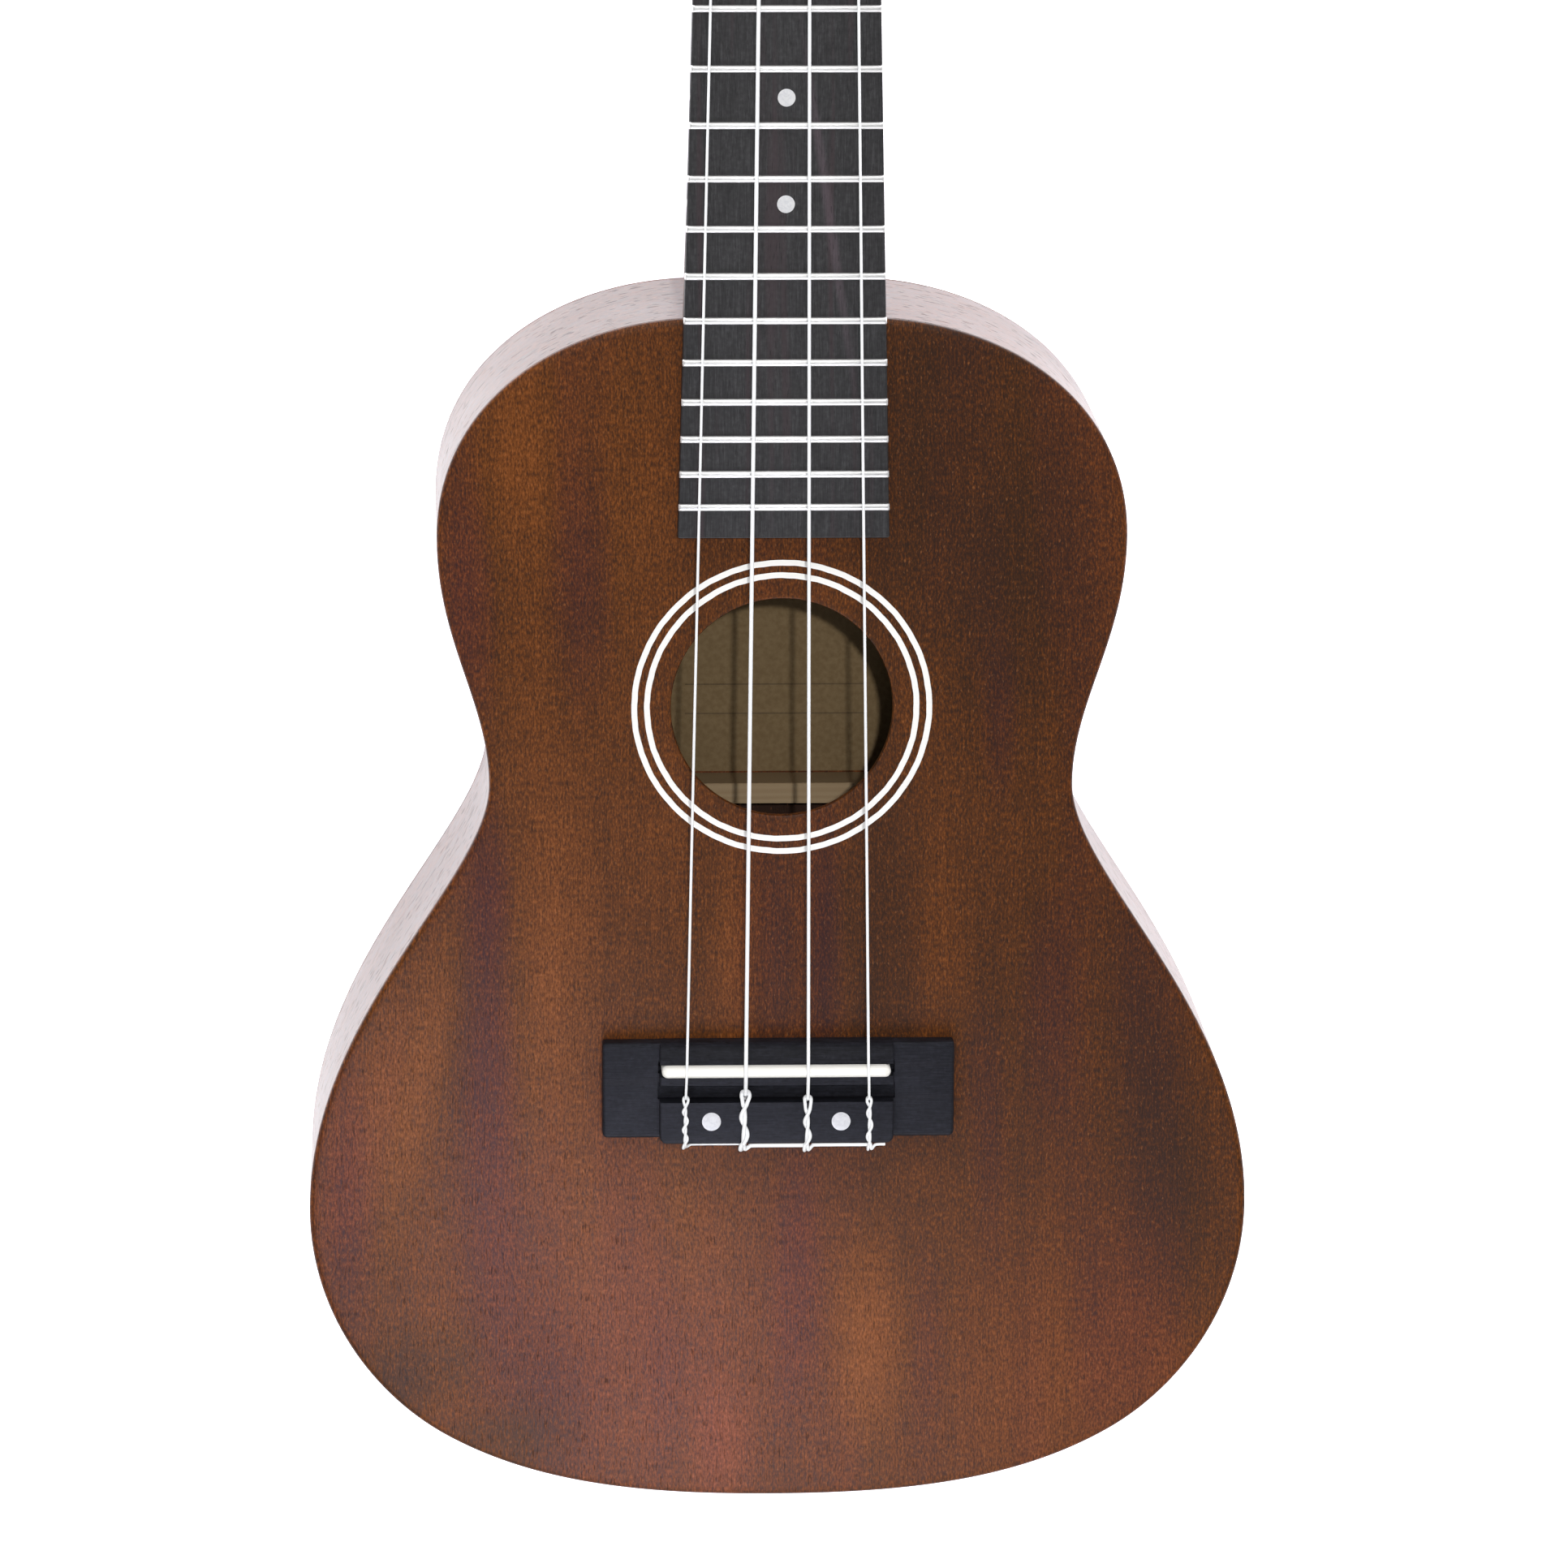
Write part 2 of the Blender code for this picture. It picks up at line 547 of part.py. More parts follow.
slot_x, slot_y = BLOCK_HALF + 0.3, SADDLE_T / 2 + GAP     # the slot runs out through the block's ends
boolean(bridge, cutter("saddle_slot", outline_mesh("saddle_slot",
        [[(BRIDGE_X + sx * slot_x, SADDLE_Y + sy * slot_y) for sx, sy in ((-1, -1), (1, -1), (1, 1), (-1, 1))]],
        TOP_Z + 2.0, TOP_Z + 20)))
tie_holes = bmesh.new()
for _, sx, _ in STRINGS:
    m = Matrix.Translation(Vector((sx, -16.0, TOP_Z + TIE_HOLE_Z)) * MM) @ Matrix.Rotation(math.pi / 2, 4, "X")
    bmesh.ops.create_cone(tie_holes, cap_ends=True, segments=12, radius1=1.1 * MM, radius2=1.1 * MM,
                          depth=16 * MM, matrix=m)
me = bpy.data.meshes.new("tie_holes")
tie_holes.to_mesh(me)
tie_holes.free()
boolean(bridge, cutter("tie_holes", me))

saddle_low, saddle_mid, saddle_high = TOP_Z + 2.0 + GAP, TOP_Z + SADDLE_TOP - 0.9, TOP_Z + SADDLE_TOP
rings = []
for grow, z in ((0.0, saddle_low), (0.0, saddle_mid), (-0.45, TOP_Z + SADDLE_TOP - 0.35), (-1.3, saddle_high)):
    rings.append([(x, y, z) for x, y in stadium(SADDLE_X, SADDLE_Y, SADDLE_L + 2 * grow, SADDLE_T + 2 * grow, 6)])
place("saddle", ring_loft("saddle", rings), material("bone_saddle", BONE, 0.35))


# ---------------------------------------------------------------- tuning machines
def gear_profile():
    """Tooth outline with a tooth space pointing at -v, where the worm runs."""
    pitch_r = GEAR_TEETH * MODULE / 2
    out_r, root_r = pitch_r + MODULE * 0.8, pitch_r - MODULE * 1.2
    step = 2 * math.pi / GEAR_TEETH
    pts = []
    for k in range(GEAR_TEETH):
        mid = -math.pi / 2 + (k + 0.5) * step
        for r, half in ((root_r, 0.24), (out_r, 0.09)):
            pts.append((mid - half * step, r))
        for r, half in ((out_r, 0.09), (root_r, 0.24)):
            pts.append((mid + half * step, r))
    return pts


def gear_mesh(name):
    pitch_r = GEAR_TEETH * MODULE / 2
    worm_r = WORM_DIST - pitch_r
    slope = LEAD / (2 * math.pi * worm_r)
    rings = []
    for w in (-GEAR_T / 2, GEAR_T / 2):
        turn = w * slope / pitch_r
        rings.append([(r * math.cos(a + turn), r * math.sin(a + turn), w) for a, r in gear_profile()])
    return ring_loft(name, rings)


def worm_mesh(name, n=10):
    """Right-hand worm on its shaft, along +X, crest facing +Y at x = 0."""
    half = WORM_LEN / 2
    steps = int(round(WORM_LEN / LEAD * 6))
    xs = [-half + WORM_LEN * i / steps for i in range(steps + 1)]

    def radius(x, a):
        phase = (x / LEAD - (a - math.pi / 2) / (2 * math.pi)) % 1.0
        d = min(phase, 1 - phase)
        ridge = max(0.0, min(1.0, (0.145 - d) / 0.12))
        fade = max(0.0, min(1.0, (half - abs(x)) / 0.7))
        return WORM_ROOT + (WORM_OUT - WORM_ROOT) * ridge * fade

    def ring(x, r_of):
        return [(x, r_of(a) * math.cos(a), r_of(a) * math.sin(a)) for a in
                (2 * math.pi * i / n for i in range(n))]

    rings = [ring(-half - 3.4, lambda a: WORM_SHAFT_R - 0.3), ring(-half - 3.1, lambda a: WORM_SHAFT_R),
             ring(-half - 0.02, lambda a: WORM_SHAFT_R)]
    rings += [ring(x, lambda a, x=x: radius(x, a)) for x in xs]
    rings += [ring(half + 0.02, lambda a: WORM_SHAFT_R), ring(BUTTON_START + 4.0, lambda a: WORM_SHAFT_R)]
    return ring_loft(name, rings)


def button_mesh(name, n=14):
    """Flat oval thumb button along +X with a short round collar."""
    rings = []
    stations = ((0.0, 2.6, 2.6), (1.6, 2.9, 2.7), (2.6, 4.2, 2.8), (4.2, 6.3, 3.1), (6.6, 7.6, 3.6),
                (8.8, 7.75, 3.8), (11.0, 6.9, 3.5), (12.6, 5.0, 2.8), (BUTTON_L, 2.2, 1.4))
    for dx, hw, ht in stations:
        ring = []
        for i in range(n):
            a = 2 * math.pi * i / n
            c, s = math.cos(a), math.sin(a)
            ring.append((BUTTON_START + dx, hw * BUTTON_W / 15.5 * math.copysign(abs(c) ** 0.85, c),
                         ht * BUTTON_T / 7.6 * math.copysign(abs(s) ** 0.85, s)))
        rings.append(ring)
    return ring_loft(name, rings)


def post_mesh(name, n=16):
    """Turned string post, from the gear's underside to its rounded top."""
    low = WORM_W - GEAR_T / 2
    prof = ((low - 0.5, 2.2), (low - 0.1, 2.6), (POST_TOP - 9.6, POST_R), (POST_TOP - 8.4, POST_R - 0.1),
            (POST_TOP - 7.2, WAIST_R), (POST_TOP - 3.6, WAIST_R), (POST_TOP - 2.4, POST_R), (POST_TOP - 0.7, POST_R),
            (POST_TOP, POST_R - 0.8))
    prof = ((prof[0][0], prof[0][1]), (prof[1][0], POST_R), (POST_TOP - 9.6, POST_R)) + prof[3:]
    rings = [[(r * math.cos(2 * math.pi * i / n), r * math.sin(2 * math.pi * i / n), w) for i in range(n)]
             for w, r in prof]
    return ring_loft(name, rings)


def rounded_rect(x0, x1, y0, y1, r, n=3):
    pts = []
    for cx, cy, a0 in ((x1 - r, y1 - r, 0), (x0 + r, y1 - r, 90), (x0 + r, y0 + r, 180), (x1 - r, y0 + r, 270)):
        for i in range(n + 1):
            a = math.radians(a0 + 90 * i / n)
            pts.append((cx + r * math.cos(a), cy + r * math.sin(a)))
    return pts


nickel = material("nickel_plate", (0.70, 0.69, 0.67), 0.25, 1.0)
brass = material("post_steel", (0.72, 0.70, 0.66), 0.25, 1.0)
pearl = material("button_plastic", (0.80, 0.79, 0.75), 0.3)
plate_top = -HEAD_T - GAP
plate_low = plate_top - PLATE_T
EAR_IN, EAR_T = WORM_LEN / 2 + 0.5, 1.4

machines = (("bass_lower", -1, POST_V[0]), ("bass_upper", -1, POST_V[1]),
            ("treble_lower", 1, POST_V[0]), ("treble_upper", 1, POST_V[1]))
base_plate = outline_mesh("tuner_plate", [rounded_rect(-8.2, 8.2, -13.2, 7.4, 2.2), circle(0, 0, POST_R + GAP, 16)],
                          plate_low, plate_top)
ear_loops = []
base_worm, base_button = worm_mesh("tuner_worm"), button_mesh("tuner_button")
base_gear, base_post = gear_mesh("tuner_gear"), post_mesh("tuner_post")

for tag, sd, v in machines:
    post_at = (sd * POST_U, v, 0.0)
    worm_at = (sd * POST_U, v - WORM_DIST, WORM_W)
    plate = place("tuner_plate_" + tag, mirrored(base_plate, sd), nickel, head, post_at)
    for k, x in (("inner", -EAR_IN - EAR_T), ("outer", EAR_IN)):
        prof = [(-WORM_DIST - 3.2, plate_low + 0.4), (-WORM_DIST + 2.6, plate_low + 0.4),
                (-WORM_DIST + 2.6, WORM_W - 1.2), (-WORM_DIST + 1.3, WORM_W - 3.1),
                (-WORM_DIST - 1.6, WORM_W - 3.1), (-WORM_DIST - 3.2, WORM_W - 1.2)]
        ear = mirrored(side_mesh("ear", prof, x, x + EAR_T), sd)
        boolean(plate, cutter("ear_%s_%s" % (k, tag), ear, head, post_at), "UNION")
    bore = rod_mesh("shaft_bore", WORM_SHAFT_R + GAP, -9, 9, 12)
    bore.transform(Matrix.Rotation(math.pi / 2, 4, "Y"))
    boolean(plate, cutter("shaft_bore_" + tag, bore, head, worm_at))

    place("tuner_worm_" + tag, mirrored(base_worm, sd), nickel, head, worm_at, smooth=35)
    button = place("tuner_button_" + tag, mirrored(base_button, sd), pearl, head, worm_at, smooth=50)
    socket = rod_mesh("button_socket", WORM_SHAFT_R + GAP, -1.0, 4.4, 12)
    socket.transform(Matrix.Translation((BUTTON_START * MM, 0, 0)) @ Matrix.Rotation(math.pi / 2, 4, "Y"))
    boolean(button, cutter("button_socket_" + tag, mirrored(socket, sd), head, worm_at))

    post = place("tuner_post_" + tag, mirrored(base_post, sd), brass, head, post_at, smooth=35)
    gear = cutter("gear_teeth_" + tag, mirrored(base_gear, sd), head, (sd * POST_U, v, WORM_W))
    boolean(post, gear, "UNION")
    eye = rod_mesh("string_eye", 0.9, -5, 5, 8)
    eye.transform(Matrix.Translation((0, 0, (POST_TOP - 4.6) * MM)) @ Matrix.Rotation(math.pi / 2, 4, "Y"))
    boolean(post, cutter("string_eye_" + tag, eye, head, post_at))


# ---------------------------------------------------------------- strings
def string_x(sx, y):
    return sx * (1 - STRING_CONVERGE * y / SCALE)


def head_point(u, v, w):
    c, s = math.cos(HEAD_TILT), math.sin(HEAD_TILT)
    return (u, HEAD_START_Y + v * c + w * s, TOP_Z - v * s + w * c)


def head_local(p):
    c, s = math.cos(HEAD_TILT), math.sin(HEAD_TILT)
    dy, dz = p[1] - HEAD_START_Y, p[2] - TOP_Z
    return (p[0], dy * c - dz * s, dy * s + dz * c)


string_mat = material("nylon", (0.86, 0.87, 0.86), 0.3)
targets = {"string_g": (-1, POST_V[0]), "string_c": (-1, POST_V[1]),
           "string_e": (1, POST_V[1]), "string_a": (1, POST_V[0])}
for name, sx, r in STRINGS:
    side, pv = targets[name]
    nut_y = SCALE + GAP + 1.0
    xn = string_x(sx, nut_y)
    pts = [(sx, -11.4, TOP_Z + BLOCK_H + r + GAP), (sx, -20.4, TOP_Z + BLOCK_H + r + GAP + 0.1),
           (sx, -22.0, TOP_Z + BLOCK_H - 0.2), (sx, -22.2, TOP_Z + TIE_HOLE_Z + 0.8),
           (sx, -21.5, TOP_Z + TIE_HOLE_Z), (sx, -10.8, TOP_Z + TIE_HOLE_Z + 0.1),
           (sx, -10.1, TOP_Z + TIE_HOLE_Z + 0.8), (sx, -9.5, TOP_Z + BLOCK_H - 0.2),
           (sx, SADDLE_Y - 1.2, TOP_Z + STRING_Z_SADDLE - 0.2),
           (sx, SADDLE_Y, TOP_Z + STRING_Z_SADDLE), (xn, nut_y, TOP_Z + STRING_Z_NUT)]
    start = head_local(pts[-1])
    wind_r = WAIST_R + GAP + r + 0.05
    cu_, cv_ = side * POST_U, pv
    du, dv = start[0] - cu_, start[1] - cv_
    dist = math.hypot(du, dv)
    first = math.atan2(dv, du) - side * math.acos(wind_r / dist)
    turns, per = 2.5, 8
    w0 = POST_TOP - 3.9 - r
    for i in range(int(turns * per) + 1):
        a = first - side * 2 * math.pi * i / per
        w = w0 - (2 * r + 0.12) * i / per
        rr = wind_r if w > POST_TOP - 6.9 else wind_r + (POST_R - WAIST_R) * min(1.0, (POST_TOP - 6.9 - w) / 1.2)
        pts.append(head_point(cu_ + rr * math.cos(a), cv_ + rr * math.sin(a), w))
    cu = bpy.data.curves.new(name, "CURVE")
    cu.dimensions = "3D"
    cu.bevel_depth = r * MM
    cu.bevel_resolution = 1
    cu.use_fill_caps = True
    sp = cu.splines.new("POLY")
    sp.points.add(len(pts) - 1)
    for p, c in zip(sp.points, pts):
        p.co = (c[0] * MM, c[1] * MM, c[2] * MM, 1.0)
    ob = bpy.data.objects.new(name, cu)
    parts.objects.link(ob)
    cu.materials.append(string_mat)
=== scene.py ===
"""Looks of the concert ukulele: fine surfaces, strings with their knots, and finishes."""
import math

import bmesh  # noqa: E402
import bpy  # noqa: E402
from mathutils import Matrix, Vector  # noqa: E402


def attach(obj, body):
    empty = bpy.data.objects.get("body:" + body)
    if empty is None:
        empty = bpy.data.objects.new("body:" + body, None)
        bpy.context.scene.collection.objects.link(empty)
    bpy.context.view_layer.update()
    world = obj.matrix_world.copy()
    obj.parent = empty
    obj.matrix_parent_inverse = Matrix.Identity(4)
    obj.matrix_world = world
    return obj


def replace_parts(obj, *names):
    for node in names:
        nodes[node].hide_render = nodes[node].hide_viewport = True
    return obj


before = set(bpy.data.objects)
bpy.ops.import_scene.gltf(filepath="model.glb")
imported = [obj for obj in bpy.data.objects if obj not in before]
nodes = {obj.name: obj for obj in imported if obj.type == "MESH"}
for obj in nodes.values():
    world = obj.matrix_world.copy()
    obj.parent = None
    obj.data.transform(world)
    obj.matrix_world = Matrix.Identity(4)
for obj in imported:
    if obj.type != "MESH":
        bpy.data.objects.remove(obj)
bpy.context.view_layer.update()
MM = 0.001

# ------------------------------------------------------------------ sizes (mm), as built
SCALE = 380.0
DEPTH, TOP_T, BACK_T, RIB_T = 57.0, 2.0, 2.0, 1.8
TAIL_Y, TAIL_H = -107.7, 29.3
HIP_X, HIP_Y, HIP_ANGLE, HIP_IN, HIP_OUT = 76.6, -92.75, 0.526, 24.8, 19.7
LOWER_X, LOWER_Y, LOWER_DOWN, LOWER_UP = 107.8, -38.5, 24.2, 46.5
WAIST_X, WAIST_Y, WAIST_DOWN, WAIST_UP = 66.4, 61.7, 22.2, 19.1
UPPER_X, UPPER_Y, UPPER_DOWN, UPPER_UP = 78.1, 118.8, 23.9, 32.5
NECK_END_Y, NECK_END_H, NECK_END_FLAT = 169.0, 48.3, 18.0
HOLE_Y, HOLE_R = 79.7, 25.2
BOARD_END_Y, BOARD_W_NUT, BOARD_TAPER, BOARD_TOP = 119.7, 35.3, 0.0476, 4.2
FRETS = 19
NECK_D_NUT, NECK_D_HEEL, HEEL_DEPTH = 16.5, 18.5, 50.0
HEAD_TILT = math.radians(12.0)
HEAD_START_Y, HEAD_T, HEAD_LEN, VENEER_T = 385.3, 12.5, 130.0, 1.1
SADDLE_Y, SADDLE_L, SADDLE_T = -3.45, 52.3, 2.7
BRIDGE_X, BRIDGE_HALF, BLOCK_HALF = -0.95, 40.25, 26.75
WING_X, SADDLE_X = -0.45, -1.15
BRIDGE_FRONT, WING_REAR, BLOCK_REAR = 2.3, -20.1, -20.7
TRENCH_FRONT, TRENCH_REAR = -6.9, -10.95
WING_H, BLOCK_H, TRENCH_H, TIE_HOLE_Z = 4.8, 8.2, 3.2, 4.7
STRINGS = (("string_g", -21.65, 0.31), ("string_c", -8.2, 0.46),
           ("string_e", 6.05, 0.40), ("string_a", 19.8, 0.33))
STRING_CONVERGE, SADDLE_TOP, NUT_TOP = 0.3294, 10.40, 5.35
POST_U, POST_V = 17.0, (36.0, 78.0)
POST_R, WAIST_R, POST_TOP = 3.0, 2.5, 14.0
GEAR_TEETH, MODULE, GEAR_T = 14, 0.74, 3.0
WORM_DIST, WORM_OUT, WORM_ROOT, WORM_LEN, WORM_SHAFT_R = 7.85, 2.9, 1.7, 7.4, 1.5
PLATE_T, PLATE_GAP = 1.0, 0.3
BUTTON_START, BUTTON_L, BUTTON_W, BUTTON_T = 14.6, 13.5, 15.5, 7.6
LEAD = math.pi * MODULE
WORM_W = -HEAD_T - PLATE_GAP - PLATE_T - 0.45 - WORM_OUT
TOP_Z = DEPTH

# ------------------------------------------------------------------ camera
cam_data = bpy.data.cameras.new("camera")
cam = bpy.data.objects.new("camera", cam_data)
bpy.context.scene.collection.objects.link(cam)
bpy.context.scene.camera = cam
cam_data.sensor_width = 36.0
cam_data.lens = 181.24
cam_data.clip_start, cam_data.clip_end = 0.05, 50.0
cam.matrix_world = (Matrix.Translation((-0.08489, 0.47216, 1.80176))
                    @ Matrix.Rotation(0.0062, 4, "Z") @ Matrix.Rotation(-0.0475, 4, "Y")
                    @ Matrix.Rotation(-0.231, 4, "X"))


# ------------------------------------------------------------------ material tools
class Mat:
    """Small helper that strings shader nodes together."""

    def __init__(self, name):
        self.mat = bpy.data.materials.new(name)
        self.mat.use_nodes = True
        self.nt = self.mat.node_tree
        self.nt.nodes.clear()
        self.out = self.nt.nodes.new("ShaderNodeOutputMaterial")
        self.bsdf = self.nt.nodes.new("ShaderNodeBsdfPrincipled")
        self.nt.links.new(self.bsdf.outputs[0], self.out.inputs[0])

    def put(self, socket, value):
        if isinstance(value, bpy.types.NodeSocket):
            self.nt.links.new(value, socket)
        else:
            socket.default_value = value

    def coords(self, attribute=None, scale=1000.0):
        """Position in mm: object space, or a stored vector attribute."""
        if attribute:
            n = self.nt.nodes.new("ShaderNodeAttribute")
            n.attribute_name = attribute
            src = n.outputs["Vector"]
        else:
            n = self.nt.nodes.new("ShaderNodeTexCoord")
            src = n.outputs["Object"]
        return self.vec("MULTIPLY", src, (scale, scale, scale))

    def vec(self, op, a, b=None):
        n = self.nt.nodes.new("ShaderNodeVectorMath")
        n.operation = op
        self.put(n.inputs[0], a)
        if b is not None:
            self.put(n.inputs[1], b)
        return n.outputs["Value"] if op in ("LENGTH", "DOT_PRODUCT") else n.outputs["Vector"]

    def math(self, op, a, b=None, c=None, clamp=False):
        n = self.nt.nodes.new("ShaderNodeMath")
        n.operation = op
        n.use_clamp = clamp
        self.put(n.inputs[0], a)
        if b is not None:
            self.put(n.inputs[1], b)
        if c is not None:
            self.put(n.inputs[2], c)
        return n.outputs[0]

    def split(self, v):
        n = self.nt.nodes.new("ShaderNodeSeparateXYZ")
        self.put(n.inputs[0], v)
        return n.outputs[0], n.outputs[1], n.outputs[2]

    def join(self, x, y, z):
        n = self.nt.nodes.new("ShaderNodeCombineXYZ")
        for s, v in zip(n.inputs, (x, y, z)):
            self.put(s, v)
        return n.outputs[0]

    def noise(self, v, scale=1.0, detail=2.0, rough=0.5, distort=0.0):
        n = self.nt.nodes.new("ShaderNodeTexNoise")
        self.put(n.inputs["Vector"], v)
        n.inputs["Scale"].default_value = scale
        n.inputs["Detail"].default_value = detail
        n.inputs["Roughness"].default_value = rough
        n.inputs["Distortion"].default_value = distort
        return n.outputs["Fac"]

    def ramp(self, fac, stops, mode="LINEAR"):
        n = self.nt.nodes.new("ShaderNodeValToRGB")
        n.color_ramp.interpolation = mode
        els = n.color_ramp.elements
        while len(els) > 1:
            els.remove(els[-1])
        for i, (pos, col) in enumerate(stops):
            e = els[0] if i == 0 else els.new(pos)
            e.position = pos
            e.color = (*col, 1.0) if len(col) == 3 else col
        self.put(n.inputs[0], fac)
        return n.outputs[0]

    def span(self, v, lo, hi, a=0.0, b=1.0, smooth=True):
        n = self.nt.nodes.new("ShaderNodeMapRange")
        n.interpolation_type = "SMOOTHSTEP" if smooth else "LINEAR"
        self.put(n.inputs[0], v)
        for s, val in zip(n.inputs[1:5], (lo, hi, a, b)):
            s.default_value = val
        return n.outputs[0]

    def mix(self, fac, a, b, mode="MIX"):
        n = self.nt.nodes.new("ShaderNodeMix")
        n.data_type = "RGBA"
        n.blend_type = mode
        self.put(n.inputs[0], fac)
        for s, v in ((n.inputs[6], a), (n.inputs[7], b)):
            if isinstance(v, tuple) and len(v) == 3:
                v = (*v, 1.0)
            self.put(s, v)
        return n.outputs[2]

    def bump(self, height, strength, distance, normal=None):
        n = self.nt.nodes.new("ShaderNodeBump")
        n.inputs["Strength"].default_value = strength
        n.inputs["Distance"].default_value = distance
        self.put(n.inputs["Height"], height)
        if normal is not None:
            self.put(n.inputs["Normal"], normal)
        return n.outputs[0]

    def set(self, **kw):
        names = {"color": "Base Color", "rough": "Roughness", "metal": "Metallic", "normal": "Normal",
                 "ior": "IOR", "coat": "Coat Weight", "coat_rough": "Coat Roughness",
                 "spec": "Specular IOR Level", "aniso": "Anisotropic", "sss": "Subsurface Weight"}
        for k, v in kw.items():
            if k == "color" and isinstance(v, tuple) and len(v) == 3:
                v = (*v, 1.0)
            self.put(self.bsdf.inputs[names[k]], v)
        return self.mat


def fibres(m, across, along, third, warp=4.0):
    """Coordinates across and along the grain, with the gentle wander of real grain."""
    w = m.noise(m.join(m.math("MULTIPLY", across, 1 / 70), m.math("MULTIPLY", along, 1 / 150),
                       m.math("MULTIPLY", third, 1 / 70)), 1.0, 2.0)
    shift = m.math("MULTIPLY", m.math("SUBTRACT", w, 0.5), 2 * warp)
    return m.math("ADD", across, shift)


def stretched(m, across, along, third, a, b, c=None, detail=2.0, rough=0.5):
    """Noise with a size of a mm across the grain and b mm along it."""
    return m.noise(m.join(m.math("MULTIPLY", across, 1 / a), m.math("MULTIPLY", along, 1 / b),
                          m.math("MULTIPLY", third, 1 / (c or a))), 1.0, detail, rough)


TONES = ((0.0, (0.030, 0.0130, 0.0070)), (0.25, (0.052, 0.0185, 0.0064)), (0.45, (0.088, 0.0272, 0.0064)),
         (0.62, (0.130, 0.0388, 0.0074)), (0.80, (0.180, 0.0540, 0.0112)), (1.0, (0.250, 0.0780, 0.0190)))


def mahogany(name, order="xyz", attribute=None, streaks=(), level=0.52, spread=1.0, rough=0.46, gloss=0.35,
             purple=0.35, light=1.0, speckle=0.9, inner=None):
    """inner paints the back brace's shadow: it darkens one band of the inside face: y, half width, tone.
    inner darkens one band of the inside face: y, half width, tone."""
    m = Mat(name)
    p = m.coords(attribute)
    axis = dict(zip("xyz", m.split(p)))
    across, along, third = (axis[c] for c in order)
    a = fibres(m, across, along, third)
    band = stretched(m, a, along, third, 15, 330, 60, 2.0, 0.45)
    ribbon = stretched(m, a, along, third, 4.2, 120, 30, 2.0, 0.5)
    fine = stretched(m, a, along, third, 1.1, 42, 6, 3.0, 0.6)
    hair = stretched(m, a, along, third, 0.38, 6.0, 1.6, 2.0, 0.6)
    fleck = stretched(m, a, along, third, 0.42, 1.1, 0.6, 2.0, 0.6)
    tone = m.math("MULTIPLY_ADD", m.math("SUBTRACT", band, 0.5), 0.62 * spread, level)
    tone = m.math("MULTIPLY_ADD", m.math("SUBTRACT", ribbon, 0.5), 0.26 * spread, tone)
    tone = m.math("MULTIPLY_ADD", m.math("SUBTRACT", fine, 0.5), 0.22, tone)
    tone = m.math("MULTIPLY_ADD", m.math("SUBTRACT", hair, 0.5), 0.55, tone)
    tone = m.math("MULTIPLY_ADD", m.math("SUBTRACT", fleck, 0.5), speckle, tone)
    curl = stretched(m, a, along, third, 9.0, 2.4, 6, 1.0)
    tone = m.math("MULTIPLY_ADD", m.math("SUBTRACT", curl, 0.5), 0.16, tone)
    flat = m.join(a, along, 0.0)
    hue = m.math("MULTIPLY", m.span(stretched(m, a, along, third, 19, 260, 60, 1.0), 0.42, 0.66), purple)
    for x, y, sx, sy, lean, dt, dh in streaks:
        d = m.vec("SUBTRACT", flat, (x, y, 0.0))
        if lean:
            dx, dy, _ = m.split(d)
            d = m.join(m.math("MULTIPLY_ADD", dy, -lean, dx), dy, 0.0)
        d = m.vec("LENGTH", m.vec("MULTIPLY", d, (1 / sx, 1 / sy, 0.0)))
        g = m.span(d, 0.0, 1.6, 1.0, 0.0)
        if dt:
            tone = m.math("MULTIPLY_ADD", g, dt, tone)
        if dh:
            hue = m.math("MULTIPLY_ADD", g, dh, hue)
    # painted shadow: inner darkens the band of the inside face where the back brace's shadow falls
    if inner:
        y, half, dt = inner
        g = m.span(m.math("ABSOLUTE", m.math("SUBTRACT", along, y)), 0.5 * half, 1.2 * half, 1.0, 0.0)
        g = m.math("MULTIPLY", g, m.math("GREATER_THAN", third, 1.0))
        tone = m.math("MULTIPLY_ADD", g, dt, tone)
    color = m.ramp(tone, TONES)
    hue = m.math("MULTIPLY", hue, 1.0, clamp=True)
    color = m.mix(hue, color, m.mix(1.0, color, (1.06, 0.92, 1.95), "MULTIPLY"))
    pore = stretched(m, a, along, third, 0.26, 3.4, 1.0, 1.0, 0.4)
    pores = m.span(pore, 0.63, 0.72)
    color = m.mix(m.math("MULTIPLY", pores, 0.55), color, (0.018, 0.009, 0.006))
    glint = m.span(stretched(m, a, along, third, 0.5, 1.2, 0.6, 1.0, 0.5), 0.62, 0.78)
    color = m.mix(m.math("MULTIPLY", glint, 0.35), color, (0.30, 0.115, 0.040))
    if light != 1.0:
        color = m.mix(1.0, color, (light, light, light), "MULTIPLY")
    r = m.math("MULTIPLY_ADD", hair, 0.12, rough - 0.06)
    r = m.math("MULTIPLY_ADD", pores, 0.2, r)
    wide = m.noise(p, 1 / 45, 2.0, 0.5)
    r = m.math("MULTIPLY_ADD", m.math("SUBTRACT", wide, 0.5), 0.10, r)
    h = m.math("MULTIPLY_ADD", pores, -1.0, m.math("MULTIPLY", hair, 0.35))
    return m.set(color=color, rough=r, normal=m.bump(h, 0.35, 0.00012), spec=gloss)


